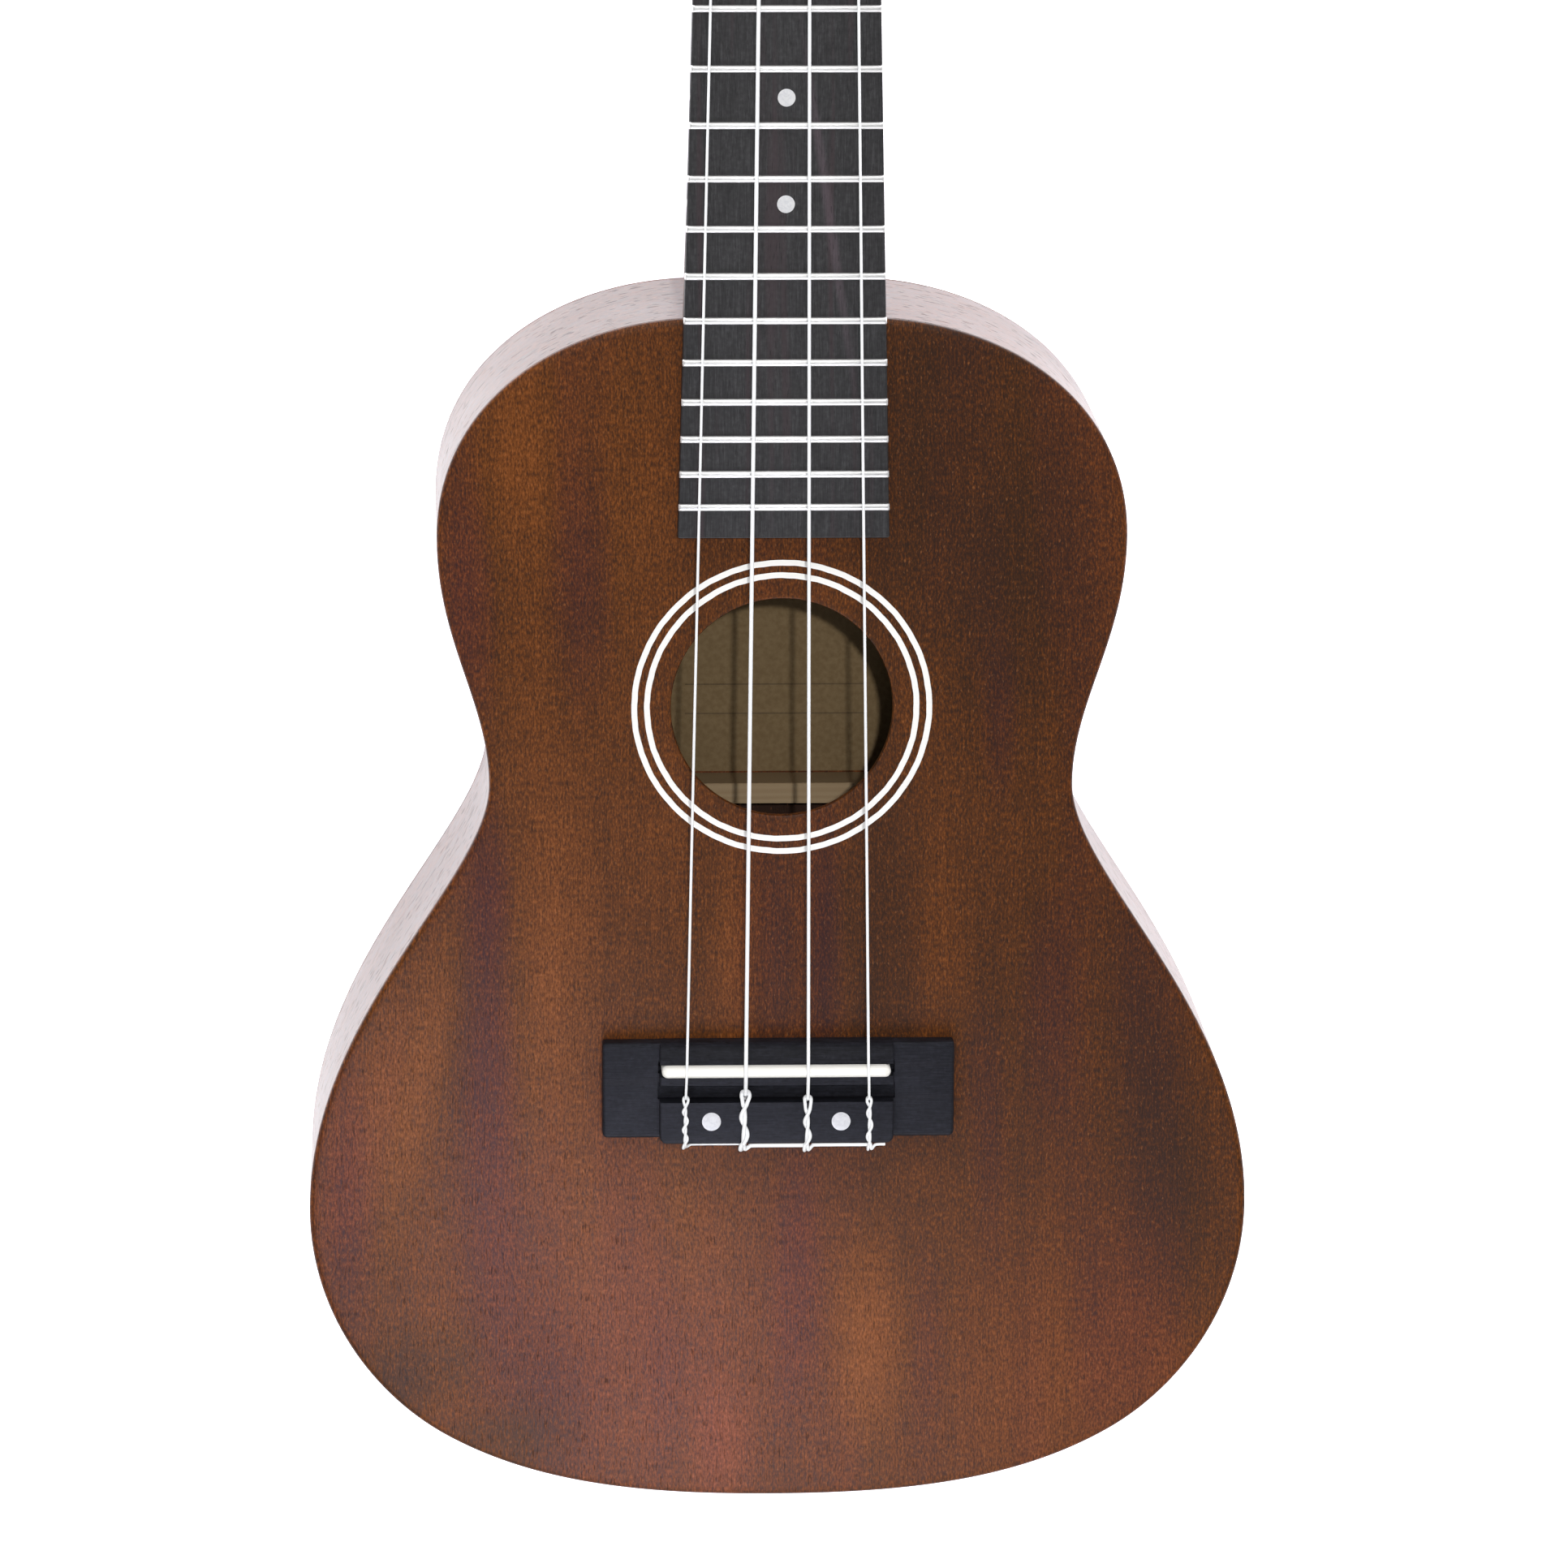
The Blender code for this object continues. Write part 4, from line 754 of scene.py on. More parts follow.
def lining(name, side, z0, z1, kerf_up):
    """Kerfed lining: a strip whose inner side is sawn into short blocks."""
    lo, hi = index_from(lambda x, y: not (y > 100 and x < 28.5) and not (y < -100 and x < 29.5))
    bm = bmesh.new()
    layer = bm.verts.layers.float_vector.new("grain")
    d0, d_web, d1 = RIB_T + 0.02, RIB_T + 1.1, RIB_T + 4.8
    pitch, width = 5.0, 1.1
    s0, s1 = ARC[lo], ARC[hi]
    stations = []
    s = s0
    while s < s1 - 0.5:
        stations += [(s, d1), (min(s + pitch - width, s1), d1), (min(s + pitch - width, s1), d_web),
                     (min(s + pitch, s1), d_web)]
        s += pitch

    def at(s):
        j = max(i for i in range(lo, hi) if ARC[i] <= s + 1e-9) if s < ARC[hi] else hi - 1
        t = (s - ARC[j]) / (ARC[j + 1] - ARC[j])
        a, b = HALF[j], HALF[j + 1]
        return [p + (q - p) * t for p, q in zip(a, b)]

    rows = []
    for s, d in stations:
        x, y, nx, ny = at(s)
        thin = 0.45
        pts = ((d0, z0), (d0, z1), (d, z1), (d, z0))
        if d > d_web + 1:
            pts = ((d0, z0), (d0, z1), (d0 + (d - d0) * (1 if kerf_up else thin), z1),
                   (d0 + (d - d0) * (thin if kerf_up else 1), z0))
        row = []
        for dd, z in pts:
            v = bm.verts.new((side * (x - nx * dd) * MM, (y - ny * dd) * MM, z * MM))
            v[layer] = (z * MM, s * MM, dd * MM)
            row.append(v)
        rows.append(row)
    for a, b in zip(rows, rows[1:]):
        for i in range(4):
            bm.faces.new((a[i], a[(i + 1) % 4], b[(i + 1) % 4], b[i]))
    bm.faces.new(rows[0])
    bm.faces.new(rows[-1])
    return from_bm(name, bm)


for nm, sd, z0, z1, up in (("lining_top_bass", -1, 48.8, 54.98, True), ("lining_top_treble", 1, 48.8, 54.98, True),
                           ("lining_back_bass", -1, 2.02, 8.2, False), ("lining_back_treble", 1, 2.02, 8.2, False)):
    add(nm + "_kerfed", lining(nm + "_kerfed", sd, z0, z1, up), mat_spruce_arc, replaces=[nm])

for nm in ("top_brace_upper", "top_brace_lower", "back_brace_upper", "back_brace_lower", "bridge_patch"):
    nodes[nm].data.materials.clear()
    nodes[nm].data.materials.append(mat_spruce_x)
    mod = nodes[nm].modifiers.new("soft", "BEVEL")
    mod.width, mod.segments = 0.0006, 2
for nm in ("neck_block", "tail_block"):
    nodes[nm].data.materials.clear()
    nodes[nm].data.materials.append(mat_spruce_z)


def ring_inlay(name, radius, half_w=0.66):
    """White inlaid ring with slightly uneven edges, a hair above the soundboard."""
    rings = []
    n = 240
    for i in range(n):
        a = 2 * math.pi * i / n
        wob = 0.035 * math.sin(17 * a + radius) + 0.03 * math.sin(41 * a + 2 * radius) + 0.02 * math.sin(73 * a)
        ri, ro = radius - half_w + wob, radius + half_w + wob * 0.6
        rings.append([(r * math.cos(a), HOLE_Y + r * math.sin(a), z) for r, z in
                      ((ri, TOP_Z - 0.5), (ri, TOP_Z + 0.02), (ri + 0.08, TOP_Z + 0.06), (ro - 0.08, TOP_Z + 0.06),
                       (ro, TOP_Z + 0.02), (ro, TOP_Z - 0.5))])
    return loft(name, rings, 30, closed=True)


add("rosette_outer_ring", ring_inlay("rosette_outer_ring", 33.5), mat_ring)
add("rosette_inner_ring", ring_inlay("rosette_inner_ring", 30.6), mat_ring)

label_pts = [(-36, 52.15), (36, 52.15), (36, 112.0), (-36, 112.0)]
add("label_blank", rounded(prism("label_blank", label_pts, BACK_T + 0.02, BACK_T + 0.2), 0.06, 1), mat_label)


# ------------------------------------------------------------------ neck and headstock
def board_half(y):
    return (BOARD_W_NUT + (SCALE - y) * BOARD_TAPER) / 2


def head_half():
    segs = (
        ((BOARD_W_NUT / 2, 1.0), (BOARD_W_NUT / 2 + 0.2, 9.0), (23.6, 14.0), (26.2, 23.0), 18),
        ((26.2, 23.0), (28.6, 31.5), (28.2, 80.0), (30.0, 106.0), 24),
        ((30.0, 106.0), (30.9, 119.0), (27.0, 124.5), (20.0, 126.5), 18),
        ((20.0, 126.5), (13.0, 128.5), (7.0, HEAD_LEN), (0.0, HEAD_LEN), 14),
    )
    out = []
    for p0, p1, p2, p3, n in segs:
        for i in range(n):
            t = max(i / n, 1e-4)
            x, y = bezier(p0, p1, p2, p3, i / n)
            tx, ty = slope(p0, p1, p2, p3, t)
            ln = math.hypot(tx, ty)
            out.append((x, y, ty / ln, -tx / ln))
    out.append((0.0, HEAD_LEN, 0.0, 1.0))
    return out


HEAD = head_half()


def head_loop(d, v_min):
    right = [(x - nx * d, y - ny * d) for x, y, nx, ny in HEAD]
    right[-1] = (0.0, right[-1][1])
    right = [(BOARD_W_NUT / 2 - d, v_min)] + right
    return right + [(-x, y) for x, y in reversed(right[:-1])]


HEAD_M = (Matrix.Translation((0, HEAD_START_Y * MM, TOP_Z * MM)) @ Matrix.Rotation(-HEAD_TILT, 4, "X"))


def head_plate(name, levels, v_min):
    """Headstock-shaped plate: levels of (inset, w)."""
    return loft(name, [[(x, y, w) for x, y in head_loop(d, v_min)] for d, w in levels], 30)


def neck_stations():
    y0 = NECK_END_Y + 0.02
    deep = HEEL_DEPTH + 7.0
    d_end = NECK_D_HEEL - 0.3
    pts = [(y0, deep), (y0 + 2.5, deep - 0.1), (y0 + 5, deep - 0.35), (y0 + 7.5, deep - 0.8), (y0 + 10, deep - 1.7)]
    pts += [bezier((y0 + 12, deep - 3.0), (y0 + 20, deep - 14), (y0 + 17, d_end + 2.5), (y0 + 50, d_end), i / 26)
            for i in range(27)]
    out = [(y, board_half(y) - 0.02, TOP_Z, d) for y, d in pts]
    y_last = out[-1][0]
    for i in range(1, 13):
        t = i / 12
        y = y_last + (376 - y_last) * t
        out.append((y, board_half(y) - 0.02, TOP_Z, d_end + (NECK_D_NUT - d_end) * t))
    for i in range(1, 5):
        t = i / 4
        out.append((376 + 8.9 * t, BOARD_W_NUT / 2 - 0.02, TOP_Z, NECK_D_NUT - 0.35 * t * t))
    for i in range(1, 9):
        t = i / 8
        y = 384.9 + 20.0 * t
        drop = max(0.0, y - HEAD_START_Y) * math.tan(HEAD_TILT) + (0.25 if y > HEAD_START_Y else 0.0)
        out.append((y, BOARD_W_NUT / 2 - 0.3 - 0.6 * t, TOP_Z - drop, NECK_D_NUT - 0.35 - 4.6 * t ** 1.15))
    return out


def neck_section(y, hw, top, depth, n=40):
    ring = []
    for i in range(n + 1):
        a = math.pi * i / n
        c, s = math.cos(a), math.sin(a)
        ring.append((math.copysign(abs(c) ** 0.86, c) * hw, y, top - depth * s ** 0.92))
    return ring


neck_mesh = loft("neck_fine", [neck_section(*s) for s in neck_stations()])
head_levels = [(1.5, -HEAD_T), (0.95, -HEAD_T + 0.12), (0.45, -HEAD_T + 0.45), (0.12, -HEAD_T + 0.95),
               (0.0, -HEAD_T + 1.5), (0.0, 0.0)]
head_mesh = head_plate("head_core", head_levels, 0.3)
head_mesh.transform(HEAD_M)
neck_mesh = cut(neck_mesh, [head_mesh], "UNION")
tools = [box_mesh("heel_cut", (-40, NECK_END_Y - 5, -20), (40, NECK_END_Y + 60, TOP_Z - HEEL_DEPTH))]
for su in (-1, 1):
    for v in POST_V:
        t = rod_mesh("hole", 4.0, -20, 5, 40)
        t.transform(HEAD_M @ Matrix.Translation((su * POST_U * MM, v * MM, 0)))
        tools.append(t)
neck_mesh = cut(neck_mesh, tools, "DIFFERENCE", 32)
add("neck_fine", neck_mesh, mat_neck, replaces=["neck"])

ven = head_plate("veneer_fine", [(0.05, 0.0), (0.05, VENEER_T - 0.35), (0.16, VENEER_T - 0.1), (0.4, VENEER_T)], 0.4)
ven.transform(HEAD_M)
holes = []
for su in (-1, 1):
    for v in POST_V:
        t = rod_mesh("hole", 4.0, -2, 5, 40)
        t.transform(HEAD_M @ Matrix.Translation((su * POST_U * MM, v * MM, 0)))
        holes.append(t)
add("veneer_fine", cut(ven, holes), mat_veneer, replaces=["headstock_veneer"])

# ------------------------------------------------------------------ fretboard
B0, B1 = TOP_Z + 0.0, TOP_Z + BOARD_TOP


def board_ring(y, d=0.0, c=0.4):
    h = board_half(y) - d
    return [(-h, y, B0), (h, y, B0), (h, y, B1 - c - d), (h - c * 0.3, y, B1 - c * 0.3 - d), (h - c, y, B1 - d),
            (-h + c, y, B1 - d), (-h + c * 0.3, y, B1 - c * 0.3 - d), (-h, y, B1 - c - d)]


rings = [board_ring(BOARD_END_Y, 0.25), board_ring(BOARD_END_Y + 0.08, 0.08), board_ring(BOARD_END_Y + 0.25)]
rings += [board_ring(BOARD_END_Y + (SCALE - BOARD_END_Y) * i / 12) for i in range(1, 13)]
add("fretboard_fine", loft("fretboard_fine", rings, 25), mat_board, replaces=["fretboard"])


def fret_y(n):
    return SCALE / 2 ** (n / 12)


def fret_mesh(name, y):
    half = board_half(y) + 0.12
    n, w, h = 20, 1.6, 0.88
    rings = []
    for x, k, f in ((-half, 0.30, 0.86), (-half + 0.10, 0.62, 0.95), (-half + 0.28, 0.86, 1.0), (-half + 0.6, 1.0, 1.0),
                    (0.0, 1.0, 1.0), (half - 0.6, 1.0, 1.0), (half - 0.28, 0.86, 1.0), (half - 0.10, 0.62, 0.95),
                    (half, 0.30, 0.86)):
        ring = [(x, y - w / 2 * f, B1 - 0.25)]
        ring += [(x, y - w / 2 * f * math.cos(math.pi * i / n), B1 + 0.02 + (h - 0.02) * k * math.sin(math.pi * i / n) ** 0.8)
                 for i in range(n + 1)]
        ring.append((x, y + w / 2 * f, B1 - 0.25))
        rings.append(ring)
    return loft(name, rings, 40)


for n in range(1, FRETS + 1):
    add("fret_%02d_crown" % n, fret_mesh("fret_%02d_crown" % n, fret_y(n)), mat_fret,
        replaces=["fret_%02d" % n])


def dot_mesh(name, r, proud=0.05):
    return turned(name, ((r, -0.8), (r, proud * 0.4), (r - 0.12, proud * 0.8), (r * 0.5, proud), (0.15, proud)), 48)


for n in (5, 7, 10, 12):
    y = (fret_y(n) + fret_y(n - 1)) / 2
    if n == 10:
        y = 219.5
    if n == 12:
        y = 195.6
    add("position_dot_%02d" % n, dot_mesh("position_dot_%02d" % n, 1.98), mat_dot,
        matrix=Matrix.Translation(Vector((0, y, B1)) * MM))
    side_dot = dot_mesh("side_dot_%02d" % n, 0.9, 0.03)
    m = Matrix.Translation(Vector((-board_half(y), y, TOP_Z + 2.1)) * MM) @ Matrix.Rotation(-math.pi / 2, 4, "Y")
    add("side_dot_%02d" % n, side_dot, mat_bone, matrix=m)


# ------------------------------------------------------------------ nut
def string_x(sx, y):
    return sx * (1 - STRING_CONVERGE * y / SCALE)


def string_z(y, r):
    """Height of a string's centre: it lies on the saddle and on the nut."""
    t = (y - SADDLE_Y) / (SCALE + 1.3 - SADDLE_Y)
    return TOP_Z + r - 0.04 + SADDLE_TOP + (NUT_TOP - SADDLE_TOP) * t


def nut_mesh(name):
    half = BOARD_W_NUT / 2
    y0, y1 = SCALE + 0.02, SCALE + 4.9
    xs = {-half, -half + 0.15, -half + 0.5, half, half - 0.15, half - 0.5}
    slots = [(string_x(sx, SCALE + 1.3), r) for _, sx, r in STRINGS]
    for x, r in slots:
        for k in (-1.25, -1.05, -0.9, -0.6, -0.3, 0.0, 0.3, 0.6, 0.9, 1.05, 1.25):
            xs.add(x + k * r)
    x = -half + 1
    while x < half - 0.5:
        xs.add(round(x, 3))
        x += 1.0
    rings = []
    for x in sorted(xs):
        top = TOP_Z + NUT_TOP + 0.3
        edge = half - abs(x)
        low = 0.0
        if edge < 0.5:
            low = 0.28 * (1 - edge / 0.5) ** 2
        for cx, r in slots:
            d = abs(x - cx)
            if d < r * 1.06:
                low = max(low, 0.3 - r + math.sqrt(max(0.0, r * r - min(d, r) ** 2)) + 0.02)
        inset = 0.0 if edge > 0.4 else 0.2 * (1 - edge / 0.4)
        rings.append([(x, y0 + inset, TOP_Z), (x, y1 - inset, TOP_Z), (x, y1 - inset, top - 2.1 - low * 0.6),
                      (x, y1 - 0.5, top - 1.5 - low * 0.8), (x, y1 - 1.8, top - 0.55 - low), (x, y0 + 1.8, top - 0.1 - low),
                      (x, y0 + 0.4, top - low), (x, y0 + inset, top - 0.25 - low)])
    return loft(name, rings, 40)


add("nut_slotted", nut_mesh("nut_slotted"), mat_bone, replaces=["nut"])

# ------------------------------------------------------------------ bridge and saddle
b0 = TOP_Z
F = BRIDGE_FRONT
block_prof = [(F, b0), (F, TOP_Z + 4.2), (F - 0.25, TOP_Z + 4.9), (F - 0.75, TOP_Z + 5.7), (F - 1.45, TOP_Z + 6.45),
              (F - 2.3, TOP_Z + 7.1), (F - 3.2, TOP_Z + 7.65), (F - 4.1, TOP_Z + 8.05), (F - 4.9, TOP_Z + BLOCK_H),
              (BLOCK_REAR, TOP_Z + BLOCK_H), (BLOCK_REAR, b0)]


def tips(x0, x1, rear, radius, n=7):
    """Plan of a piece from x0 to x1 with its two rear corners turned to the radius."""
    arc = [math.pi / 2 * i / n for i in range(n + 1)]
    return ([(x1, F + 2), (x0, F + 2)]
            + [(x0 + radius * (1 - math.cos(a)), rear + radius * (1 - math.sin(a))) for a in arc]
            + [(x1 - radius * (1 - math.sin(a)), rear + radius * (1 - math.cos(a))) for a in arc])


block = turn_to(prism("bridge_fine", block_prof, BRIDGE_X - BLOCK_HALF - 0.5, BRIDGE_X + BLOCK_HALF + 0.5), X_ROWS)
block = cut(block, [prism("block_plan", tips(BRIDGE_X - BLOCK_HALF, BRIDGE_X + BLOCK_HALF, BLOCK_REAR + 0.01, 1.7),
                          TOP_Z - 1, TOP_Z + 20)], "INTERSECT")
block = rounded(block, 0.4, 3)
wing_prof = [(F - 0.05, b0), (F - 0.05, TOP_Z + WING_H), (WING_REAR, TOP_Z + WING_H), (WING_REAR, b0)]
wings = turn_to(prism("wings", wing_prof, WING_X - BRIDGE_HALF - 0.5, WING_X + BRIDGE_HALF + 0.5), X_ROWS)
wings = cut(wings, [prism("wing_plan", tips(WING_X - BRIDGE_HALF, WING_X + BRIDGE_HALF, WING_REAR + 0.01, 1.2),
                          TOP_Z - 1, TOP_Z + 20)], "INTERSECT")
wings = rounded(wings, 0.7, 4)
trench = box_mesh("trench", (BRIDGE_X - BLOCK_HALF - 0.4, TRENCH_REAR, TOP_Z + TRENCH_H),
                  (BRIDGE_X + BLOCK_HALF + 0.4, TRENCH_FRONT, TOP_Z + 14))
tools = [trench]
for _, sx, r in STRINGS:
    t = rod_mesh("tie_hole", 0.95, -7.5, 10, 24)
    t.transform(Matrix.Translation(Vector((sx, -12.0, TOP_Z + TIE_HOLE_Z)) * MM) @ Matrix.Rotation(math.pi / 2, 4, "X"))
    t.transform(Matrix.Translation((0, -4 * MM, 0)))
    tools.append(t)


def stadium(cx, cy, length, width, n=16):
    r = width / 2
    s = length / 2 - r
    right = [(cx + s + r * math.cos(a), cy + r * math.sin(a)) for a in (math.pi * (i / n - 0.5) for i in range(n + 1))]
    return right + [(2 * cx - x, 2 * cy - y) for x, y in right]


tools.append(box_mesh("slot", (BRIDGE_X - BLOCK_HALF - 0.3, SADDLE_Y - SADDLE_T / 2 - 0.07, TOP_Z + 2.0),
                      (BRIDGE_X + BLOCK_HALF + 0.3, SADDLE_Y + SADDLE_T / 2 + 0.07, TOP_Z + 20)))
bridge_mesh = cut(block, [wings], "UNION")
bridge_mesh = cut(bridge_mesh, tools, "DIFFERENCE", 30)
add("bridge_fine", bridge_mesh, mat_bridge, replaces=["bridge"])

sad_top = TOP_Z + SADDLE_TOP
rings = []
for grow, z in ((0.0, TOP_Z + 2.05), (0.0, sad_top - 1.5), (-0.10, sad_top - 0.95), (-0.35, sad_top - 0.45),
                (-0.75, sad_top - 0.14), (-1.2, sad_top)):
    rings.append([(x, y, z) for x, y in stadium(SADDLE_X, SADDLE_Y, SADDLE_L + 2 * grow, SADDLE_T + 2 * grow, 16)])
add("saddle_fine", loft("saddle_fine", rings, 40), mat_bone, replaces=["saddle"])
for nm, x, y in (("bridge_dot_bass", -15.9, -15.4), ("bridge_dot_treble", 13.75, -15.5)):
    add(nm, dot_mesh(nm, 2.15, 0.06), mat_inlay, matrix=Matrix.Translation(Vector((x, y, TOP_Z + BLOCK_H)) * MM))


# ------------------------------------------------------------------ strings
def smooth_path(pts, per=6):
    """Centripetal-like Catmull-Rom curve through the points."""
    out = []
    n = len(pts)
    for i in range(n - 1):
        p0 = pts[max(i - 1, 0)]
        p1, p2 = pts[i], pts[i + 1]
        p3 = pts[min(i + 2, n - 1)]
        for k in range(per):
            t = k / per
            out.append(tuple(0.5 * (2 * b + (c - a) * t + (2 * a - 5 * b + 4 * c - d) * t * t
                                    + (3 * b - a - 3 * c + d) * t ** 3) for a, b, c, d in zip(p0, p1, p2, p3)))
    out.append(tuple(pts[-1]))
    return out


def tube(name, pts, r, sides=12):
    """Round tube along pts (mm) with parallel-transported rings and closed ends."""
    path = [Vector(p) for p in pts]
    clean = [path[0]]
    for p in path[1:]:
        if (p - clean[-1]).length > 0.02:
            clean.append(p)
    path = clean
    tang = []
    for i in range(len(path)):
        t = path[min(i + 1, len(path) - 1)] - path[max(i - 1, 0)]
        tang.append(t.normalized())
    ref = Vector((0, 0, 1)) if abs(tang[0].z) < 0.9 else Vector((1, 0, 0))
    u = tang[0].cross(ref).normalized()
    rings = []
    for i, p in enumerate(path):
        if i:
            q = tang[i - 1].rotation_difference(tang[i])
            u = q @ u
        u = (u - tang[i] * u.dot(tang[i])).normalized()
        v = tang[i].cross(u)
        rings.append([tuple(p + (u * math.cos(2 * math.pi * k / sides) + v * math.sin(2 * math.pi * k / sides)) * r)
                      for k in range(sides)])
    return loft(name, rings, 60)


def head_point(u, v, w):
    c, s = math.cos(HEAD_TILT), math.sin(HEAD_TILT)
    return (u, HEAD_START_Y + v * c + w * s, TOP_Z - v * s + w * c)


def head_local(p):
    c, s = math.cos(HEAD_TILT), math.sin(HEAD_TILT)
    dy, dz = p[1] - HEAD_START_Y, p[2] - TOP_Z
    return (p[0], dy * c - dz * s, dy * s + dz * c)


POSTS = {"string_g": (-1, 0, "bass_lower"), "string_c": (-1, 1, "bass_upper"),
         "string_e": (1, 1, "treble_upper"), "string_a": (1, 0, "treble_lower")}
# tie of each string, heights above the soundboard: y where the two strands first cross, half turns, x offsets of
# the eye, the twist and the rear end, y of the drop behind the block, height of the free end, y of the eye's front,
# and the eye's half width from there back
TIES = {
    "string_g": (-11.8, 4, -0.12, -0.24, -0.43, -21.75, 6.95, -9.7, ((-10.1, 0.54), (-10.6, 0.50), (-11.2, 0.28))),
    "string_c": (-12.0, 2, 0.06, -0.24, -0.70, -22.15, 7.95, -8.4,
                 ((-8.9, 0.86), (-9.5, 0.90), (-10.1, 0.72), (-10.7, 0.56), (-11.4, 0.36))),
    "string_e": (-13.6, 2, 0.06, -0.04, -0.37, -22.4, 7.95, -9.7,
                 ((-10.1, 0.72), (-10.7, 0.70), (-11.5, 0.60), (-12.3, 0.49), (-13.0, 0.28))),
    "string_a": (-12.0, 3, 0.33, 0.45, 0.43, -22.3, 7.95, -10.0, ((-10.4, 0.48), (-10.9, 0.46), (-11.5, 0.24))),
}
T_TOP = TOP_Z + BLOCK_H
order = list(STRINGS)
for idx, (name, sx, r) in enumerate(order):
    side, vi, tag = POSTS[name]
    pv = POST_V[vi]
    # straight run, over the saddle and nut
    ny = SCALE + 0.4
    nut_in = (string_x(sx, ny), ny, string_z(ny, r))
    nut_out = (string_x(sx, SCALE + 3.2), SCALE + 3.2, TOP_Z + NUT_TOP + r - 0.75)
    eye_w = POST_TOP - 4.6
    pitch = 2 * r + 0.04
    turns = 2.25
    wind_r = WAIST_R + r + 0.02
    w_in = eye_w - 0.05 - pitch * turns
    start = head_local(nut_out)
    du, dv = start[0] - side * POST_U, start[1] - pv
    dist = math.hypot(du, dv)
    first = math.atan2(dv, du) - side * math.acos(wind_r / dist)
    touch = head_point(side * POST_U + wind_r * math.cos(first), pv + wind_r * math.sin(first), w_in)
    zs = string_z(SADDLE_Y, r)
    y_x, half_turns, eye_x, twist_x, end_x, y_drop, free_z, y_eye, eye = TIES[name]
    eye_z = 7.45
    y_up = max(y_eye - 2 * r - 0.02, TRENCH_REAR + r)
    run = [(sx, BLOCK_REAR - 0.4, TOP_Z + TIE_HOLE_Z), (sx, -15.0, TOP_Z + TIE_HOLE_Z), (sx, -11.6, TOP_Z + TIE_HOLE_Z)]
    run += smooth_path([(sx, -11.6, TOP_Z + TIE_HOLE_Z), (sx + eye_x * 0.4, y_up - 0.15, TOP_Z + TIE_HOLE_Z + 0.7),
                        (sx + eye_x * 0.8, y_up + 0.02, TOP_Z + eye_z - 0.6),
                        (sx + eye_x, y_up + 0.3, TOP_Z + eye_z + r * 1.2),
                        (sx + eye_x, y_eye + 0.1, TOP_Z + eye_z + 2 * r + 0.06),
                        (sx + eye_x * 0.3, SADDLE_Y - 1.25, zs - 0.16), (sx, SADDLE_Y + 0.1, zs)], 6)[1:]
    steps = 8
    for i in range(1, steps + 1):
        t = i / steps
        y = SADDLE_Y + (ny - SADDLE_Y) * t
        run.append((string_x(sx, y), y, string_z(y, r)))
    run += [(string_x(sx, SCALE + 1.6), SCALE + 1.6, TOP_Z + NUT_TOP + r - 0.1), nut_out, touch]
    add(name + "_run", tube(name + "_run", run, r), mat_nylon, replaces=[name])
    # coil on the post, through its eye, with a short cut end
    coil = []
    per = 28
    for i in range(int(turns * per) + 1):
        a = first - side * 2 * math.pi * i / per
        coil.append(head_point(side * POST_U + wind_r * math.cos(a), pv + wind_r * math.sin(a), w_in + pitch * i / per))
    a_end = first - side * 2 * math.pi * int(turns * per) / per
    ca, sa = math.cos(a_end), math.sin(a_end)
    ex = side * 1.0
    entry = (side * POST_U + ex * (POST_R + 0.5), pv, eye_w)
    exit_ = (side * POST_U - ex * (POST_R + 0.2), pv, eye_w)
    # finish the turn to face the eye on its outer side
    goal = 0.0 if side > 0 else math.pi
    delta = (goal - a_end) * -side % (2 * math.pi)
    extra = max(2, int(delta / (2 * math.pi) * per))
    for k in range(1, extra + 1):
        a = a_end - side * delta * k / extra
        rr = wind_r + 0.5 * max(0.0, (k / extra) - 0.7) / 0.3
        coil.append(head_point(side * POST_U + rr * math.cos(a), pv + rr * math.sin(a),
                               w_in + pitch * turns + 0.25 * k / extra * pitch))
    tail = smooth_path([coil[-1], head_point(side * (POST_U + POST_R * 0.55), pv, eye_w),
                        head_point(side * (POST_U - POST_R * 0.6), pv, eye_w),
                        head_point(side * (POST_U - POST_R - 1.2), pv + 0.15, eye_w + 0.2),
                        head_point(side * (POST_U - POST_R - 3.2), pv + 0.5, eye_w + 0.9)], 6)
    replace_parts(add(name + "_coil", tube(name + "_coil", coil + tail[1:], r, 10), mat_nylon, "post_" + tag), name)
    # tie: an eye round the standing string in front of the block, then two strands twisted over its top;
    # one strand winds widely round the other, so the outline steps from side to side
    zc = T_TOP + 2 * r + 0.02
    y_r = BLOCK_REAR + 0.35

    def side_x(y):
        if y > y_x:
            f = min(1.0, (y - y_x) / (y_eye - y_x) * 1.6)
            return sx + twist_x + (eye_x - twist_x) * f
        f = max(0.0, ((y_x - y) / (y_x - y_r) - 0.8) / 0.2)
        return sx + twist_x + (end_x - twist_x) * 0.4 * f

    def strand(wide):
        pts = []
        steps = 10 * half_turns
        for i in range(steps + 1):
            t = i / steps
            y = y_x + (y_r - y_x) * t
            ph = math.pi * half_turns * t
            x = side_x(y) + (-1.62 * r if wide else 0.38 * r) * math.sin(ph)
            pts.append((x, y, zc + (r if wide else -r) * math.cos(ph)))
        return pts

    def leg(sign, z_cross):
        """Eye strand on one side, from its front end back to the first crossing."""
        pts = []
        for y, half in eye:
            if y > TRENCH_REAR - 0.2:
                f = (y - TRENCH_REAR + 0.2) / (y_eye - TRENCH_REAR + 0.2)
                z = T_TOP + 1.1 * r + (eye_z - BLOCK_H - 1.1 * r) * f * f
            else:
                f = (y - y_x) / (TRENCH_REAR - 0.2 - y_x)
                z = z_cross + (T_TOP + 1.1 * r - z_cross) * f
            pts.append((side_x(y) + sign * half, y, z))
        return pts

